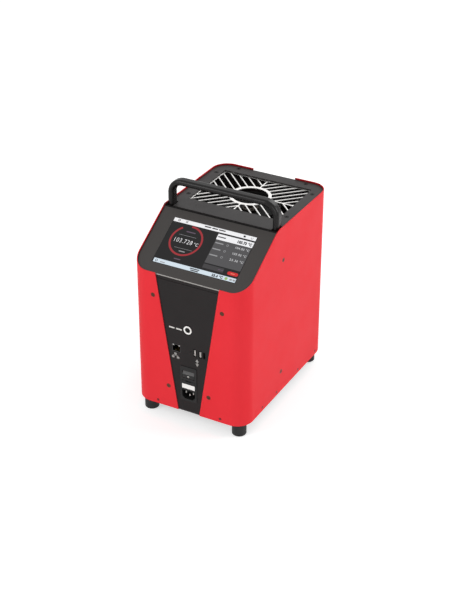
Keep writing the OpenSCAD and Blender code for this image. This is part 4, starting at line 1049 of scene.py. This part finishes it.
@dataclass
class Screen(Assembly):
    """Display glass with its lit page, in millimetres across and up the console.

    Attributes:
        edge: Half the width of the page.
        dial: Place of the dial's middle.
        rows: Middles of the rows beside the dial, with the figures of each.
        page: The lit page.
    """

    skins: Rows = (("display_glass", Finish.GLASS, 0.15),)
    edge: float = 77.0
    dial: tuple[float, float] = (-37.9, 74.6)
    rows: tuple[tuple[float, str], ...] = ((85.3, "104.00"), (73.6, "103.90"), (61.7, "23.36"))
    page: Print = field(init=False)

    def __post_init__(self) -> None:
        """Places the page on the console."""
        self.page = Print(Print.face((0, FRONT, BROW), SLOPE))

    def strips(self) -> None:
        """Lays the title bar and the status bar with plain marks for their text."""
        page = self.page
        page.bars(Finish.LIT_WHITE, (-self.edge, self.edge, 105.5, 112.7))
        page.bars(Finish.LIT_INK, (-18.8, -6.5, 108.6, 110.7), (-4.5, 6.0, 108.6, 110.7),
                  (8.0, 20.2, 108.6, 110.7), (-54.2, -50.2, 107.6, 108.3), (-54.2, -50.2, 109.0, 109.7),
                  (-54.2, -50.2, 110.4, 111.1), (-7.7, 9.9, 27.4, 29.2), (-5.3, 8.8, 24.3, 26.1), level=1)
        page.bars(Finish.LIT_INK, (54.0, 57.8, 107.6, 111.0), level=1, corner=0.5)
        page.arc(Finish.LIT_INK, -66.9, 109.3, 1.2, 2.1, level=1)
        page.arc(Finish.LIT_INK, 69.6, 109.2, 1.3, 2.0, 130, 280, 1)
        page.arc(Finish.LIT_INK, -70.2, 26.8, 1.5, 2.3, level=1)
        page.words(Finish.LIT_INK, "23.4 \u00b0C", (33.6, 53.8, 24.2, 29.4), weight=0.68)
        page.bars(Finish.LIT_ICE, (-75.6, self.edge, 23.2, 30.8))
        page.bars(Finish.LIT_MID, (-62.6, -54.0, 25.0, 26.6), (66.0, 70.6, 25.2, 28.4),
                  (72.0, 76.2, 25.2, 28.4), level=1)
        page.arc(Finish.LIT_GREEN, 59.9, 26.9, 0.02, 2.7, level=1)

    def gauge(self) -> None:
        """Lays the open dial with its reading and the fine lines in it."""
        page = self.page
        page.arc(Finish.LIT_RING, *self.dial, 26.3, 29.7, 126, 327)
        page.words(Finish.LIT_WHITE, "103.728", (-58.4, -25.0, 69.2, 77.2), 0, -0.1)
        page.words(Finish.LIT_WHITE, "\u00b0C", (-21.4, -13.8, 69.2, 75.4), 0)
        page.bars(Finish.LIT_MID, (-55.0, -22.7, 83.7, 84.15), (-52.0, -19.0, 58.8, 59.25),
                  (-41.0, -30.0, 52.8, 54.6))
        page.bars(Finish.LIT_PLUM, (-45.0, -28.0, 91.0, 93.0), (-42.8, -30.8, 37.2, 39.2))

    def column(self) -> None:
        """Lays the rows of figures beside the dial and the button under them."""
        page = self.page
        page.bars(Finish.LIT_WHITE, (10.7, self.edge, 91.7, 102.5))
        page.bars(Finish.LIT_INK, (12.3, 26.6, 96.2, 98.2), level=1)
        page.words(Finish.LIT_INK, "103.73 \u00b0C", (48.6, 74.6, 93.8, 100.0), weight=0.72)
        page.bars(Finish.LIT_GREY, (11.3, self.edge, 45.3, 91.5))
        for up, figures in self.rows:
            page.bars(Finish.LIT_MID, (12.6, 27.4, up - 0.9, up + 1.1), level=1)
            page.arc(Finish.LIT_MID, 35.3, up, 1.3, 2.0, level=1)
            page.words(Finish.LIT_PALE, f"{figures} \u00b0C", (50.0, 75.0, up - 2.0, up + 2.4), weight=0.12)
        page.bars(Finish.LIT_DIM, (11.6, 49.5, 35.2, 43.0))
        page.bars(Finish.LIT_PLUM, (39.5, 44.0, 38.4, 39.8), (45.2, 48.9, 38.4, 39.8), level=1)
        page.bars(Finish.LIT_BUTTON, (57.4, 76.6, 34.5, 40.8), corner=3.0)
        page.bars(Finish.LIT_CORAL, (63.4, 70.4, 36.9, 38.3), level=1)

    def build(self) -> None:
        """Finishes the glass and lays the page on it."""
        super().build()
        self.strips()
        self.gauge()
        self.column()
        self.page.done("page", Body.HOUSING, Workshop.slots["display_glass"])


@dataclass
class Studio:
    """Camera, floor, lamps and world.

    Attributes:
        azimuth: Angle of the camera to the right of the front, in degrees.
        elevation: Angle of the camera above the horizon, in degrees.
        distance: Distance from the camera to its target, in metres.
        focal: Focal length in dots of the photograph.
        dots: Height of the photograph in dots.
        sensor: Height of the sensor in millimetres.
        sideways: Shift of the target to the right, in metres.
        height: Height of the target, in metres.
        sky: Strength of the world as a light.
    """

    azimuth: float = 28.76
    elevation: float = 30.08
    distance: float = 2.39163
    focal: float = 1378.18
    dots: float = 600.0
    sensor: float = 36.0
    sideways: float = -0.00896
    height: float = 0.16924
    sky: float = 0.42

    def camera(self) -> None:
        """Makes the camera at the photograph's viewing angle."""
        turn, rise = math.radians(self.azimuth), math.radians(self.elevation)
        target = Vector((math.cos(turn) * self.sideways, math.sin(turn) * self.sideways, self.height))
        back = Vector((math.sin(turn) * math.cos(rise), -math.cos(turn) * math.cos(rise), math.sin(rise)))
        data = bpy.data.cameras.new("camera")
        data.sensor_fit = "VERTICAL"
        data.sensor_height = self.sensor
        data.lens = self.focal * self.sensor / self.dots
        camera = bpy.data.objects.new("camera", data)
        camera.location = target + back * self.distance
        camera.rotation_euler = (-back).to_track_quat("-Z", "Y").to_euler()
        bpy.context.scene.collection.objects.link(camera)
        bpy.context.scene.camera = camera

    @staticmethod
    def lamp(name: str, place: Place, aim: Place, size: float, power: float) -> None:
        """Adds a square soft lamp.

        Args:
            name: The lamp's name.
            place: Where it stands.
            aim: Where it points.
            size: Side of the square.
            power: Power in watts.
        """
        data = bpy.data.lights.new(name, "AREA")
        data.size = size
        data.energy = power
        lamp = bpy.data.objects.new(name, data)
        lamp.location = Vector(place)
        lamp.rotation_euler = (Vector(aim) - Vector(place)).to_track_quat("-Z", "Y").to_euler()
        bpy.context.scene.collection.objects.link(lamp)

    @staticmethod
    def seen(net: Net) -> Any:
        """Adds a test for camera, glossy and transmission rays.

        Args:
            net: Tree that gets the test.

        Returns:
            Socket that is 1 for those rays and 0 for the rest.
        """
        path = net.add("LightPath", {})
        value = path["Is Camera Ray"]
        for label in ("Is Glossy Ray", "Is Transmission Ray"):
            value = net.add("Math", {0: value, 1: path[label]}, operation="MAXIMUM")[0]
        return value

    def world(self) -> None:
        """Makes a world that is white to look at and softer as a light."""
        world = bpy.data.worlds.new("studio")
        bpy.context.scene.world = world
        world.use_nodes = True
        net = Net(world.node_tree)
        ground = net.tree.nodes["Background"].inputs
        net.feed(ground["Color"], WHITE)
        net.feed(ground["Strength"], net.span(self.seen(net), low=0.0, high=1.0, start=self.sky))

    def floor(self) -> None:
        """Makes the pale floor, which keeps the object's shadow."""
        bm = bmesh.new()
        bmesh.ops.create_grid(bm, x_segments=1, y_segments=1, size=12.0)
        mesh = bpy.data.meshes.new("floor")
        bm.to_mesh(mesh)
        bm.free()
        shade = Shade("pale_floor")
        far = shade.add("VectorMath", {0: shade.place}, operation="LENGTH")
        lift = shade.span(far["Value"], low=0.5, high=2.0, start=0.5, end=0.62)
        level = shade.add("Math", {0: self.seen(shade), 1: lift}, operation="MULTIPLY")
        shade.set(Base_Color=(0.8, 0.8, 0.8, 1), Roughness=0.9, Specular_IOR_Level=0.0,
                  Emission_Color=WHITE, Emission_Strength=level[0])
        mesh.materials.append(shade.material)
        floor = bpy.data.objects.new("floor", mesh)
        bpy.context.scene.collection.objects.link(floor)

    def build(self) -> None:
        """Lights the scene and lays the floor."""
        bpy.context.scene.view_settings.view_transform = "Standard"
        self.world()
        self.floor()
        self.lamp("key", (-1.5, -1.9, 1.7), (0, 0, 0.2), size=1.5, power=27.0)
        self.lamp("fill", (1.3, -2.1, 0.9), (0, 0, 0.2), size=1.4, power=15.0)
        self.lamp("side", (2.0, 0.9, 1.2), (0, 0, 0.2), size=1.0, power=17.0)
        self.lamp("rear", (0.5, 1.9, 1.6), (0, 0, 0.3), size=1.2, power=15.0)


def main() -> None:
    """Builds every sub-assembly in order."""
    logging.basicConfig(level=logging.INFO, format="%(name)s %(message)s")
    studio = Studio()
    studio.camera()
    for part in (Casing(), FrontSockets(), HotHalf(), Electronics(), Screen(), studio):
        LOG.info("building %s", type(part).__name__)
        part.build()


if __name__ == "__main__":
    main()
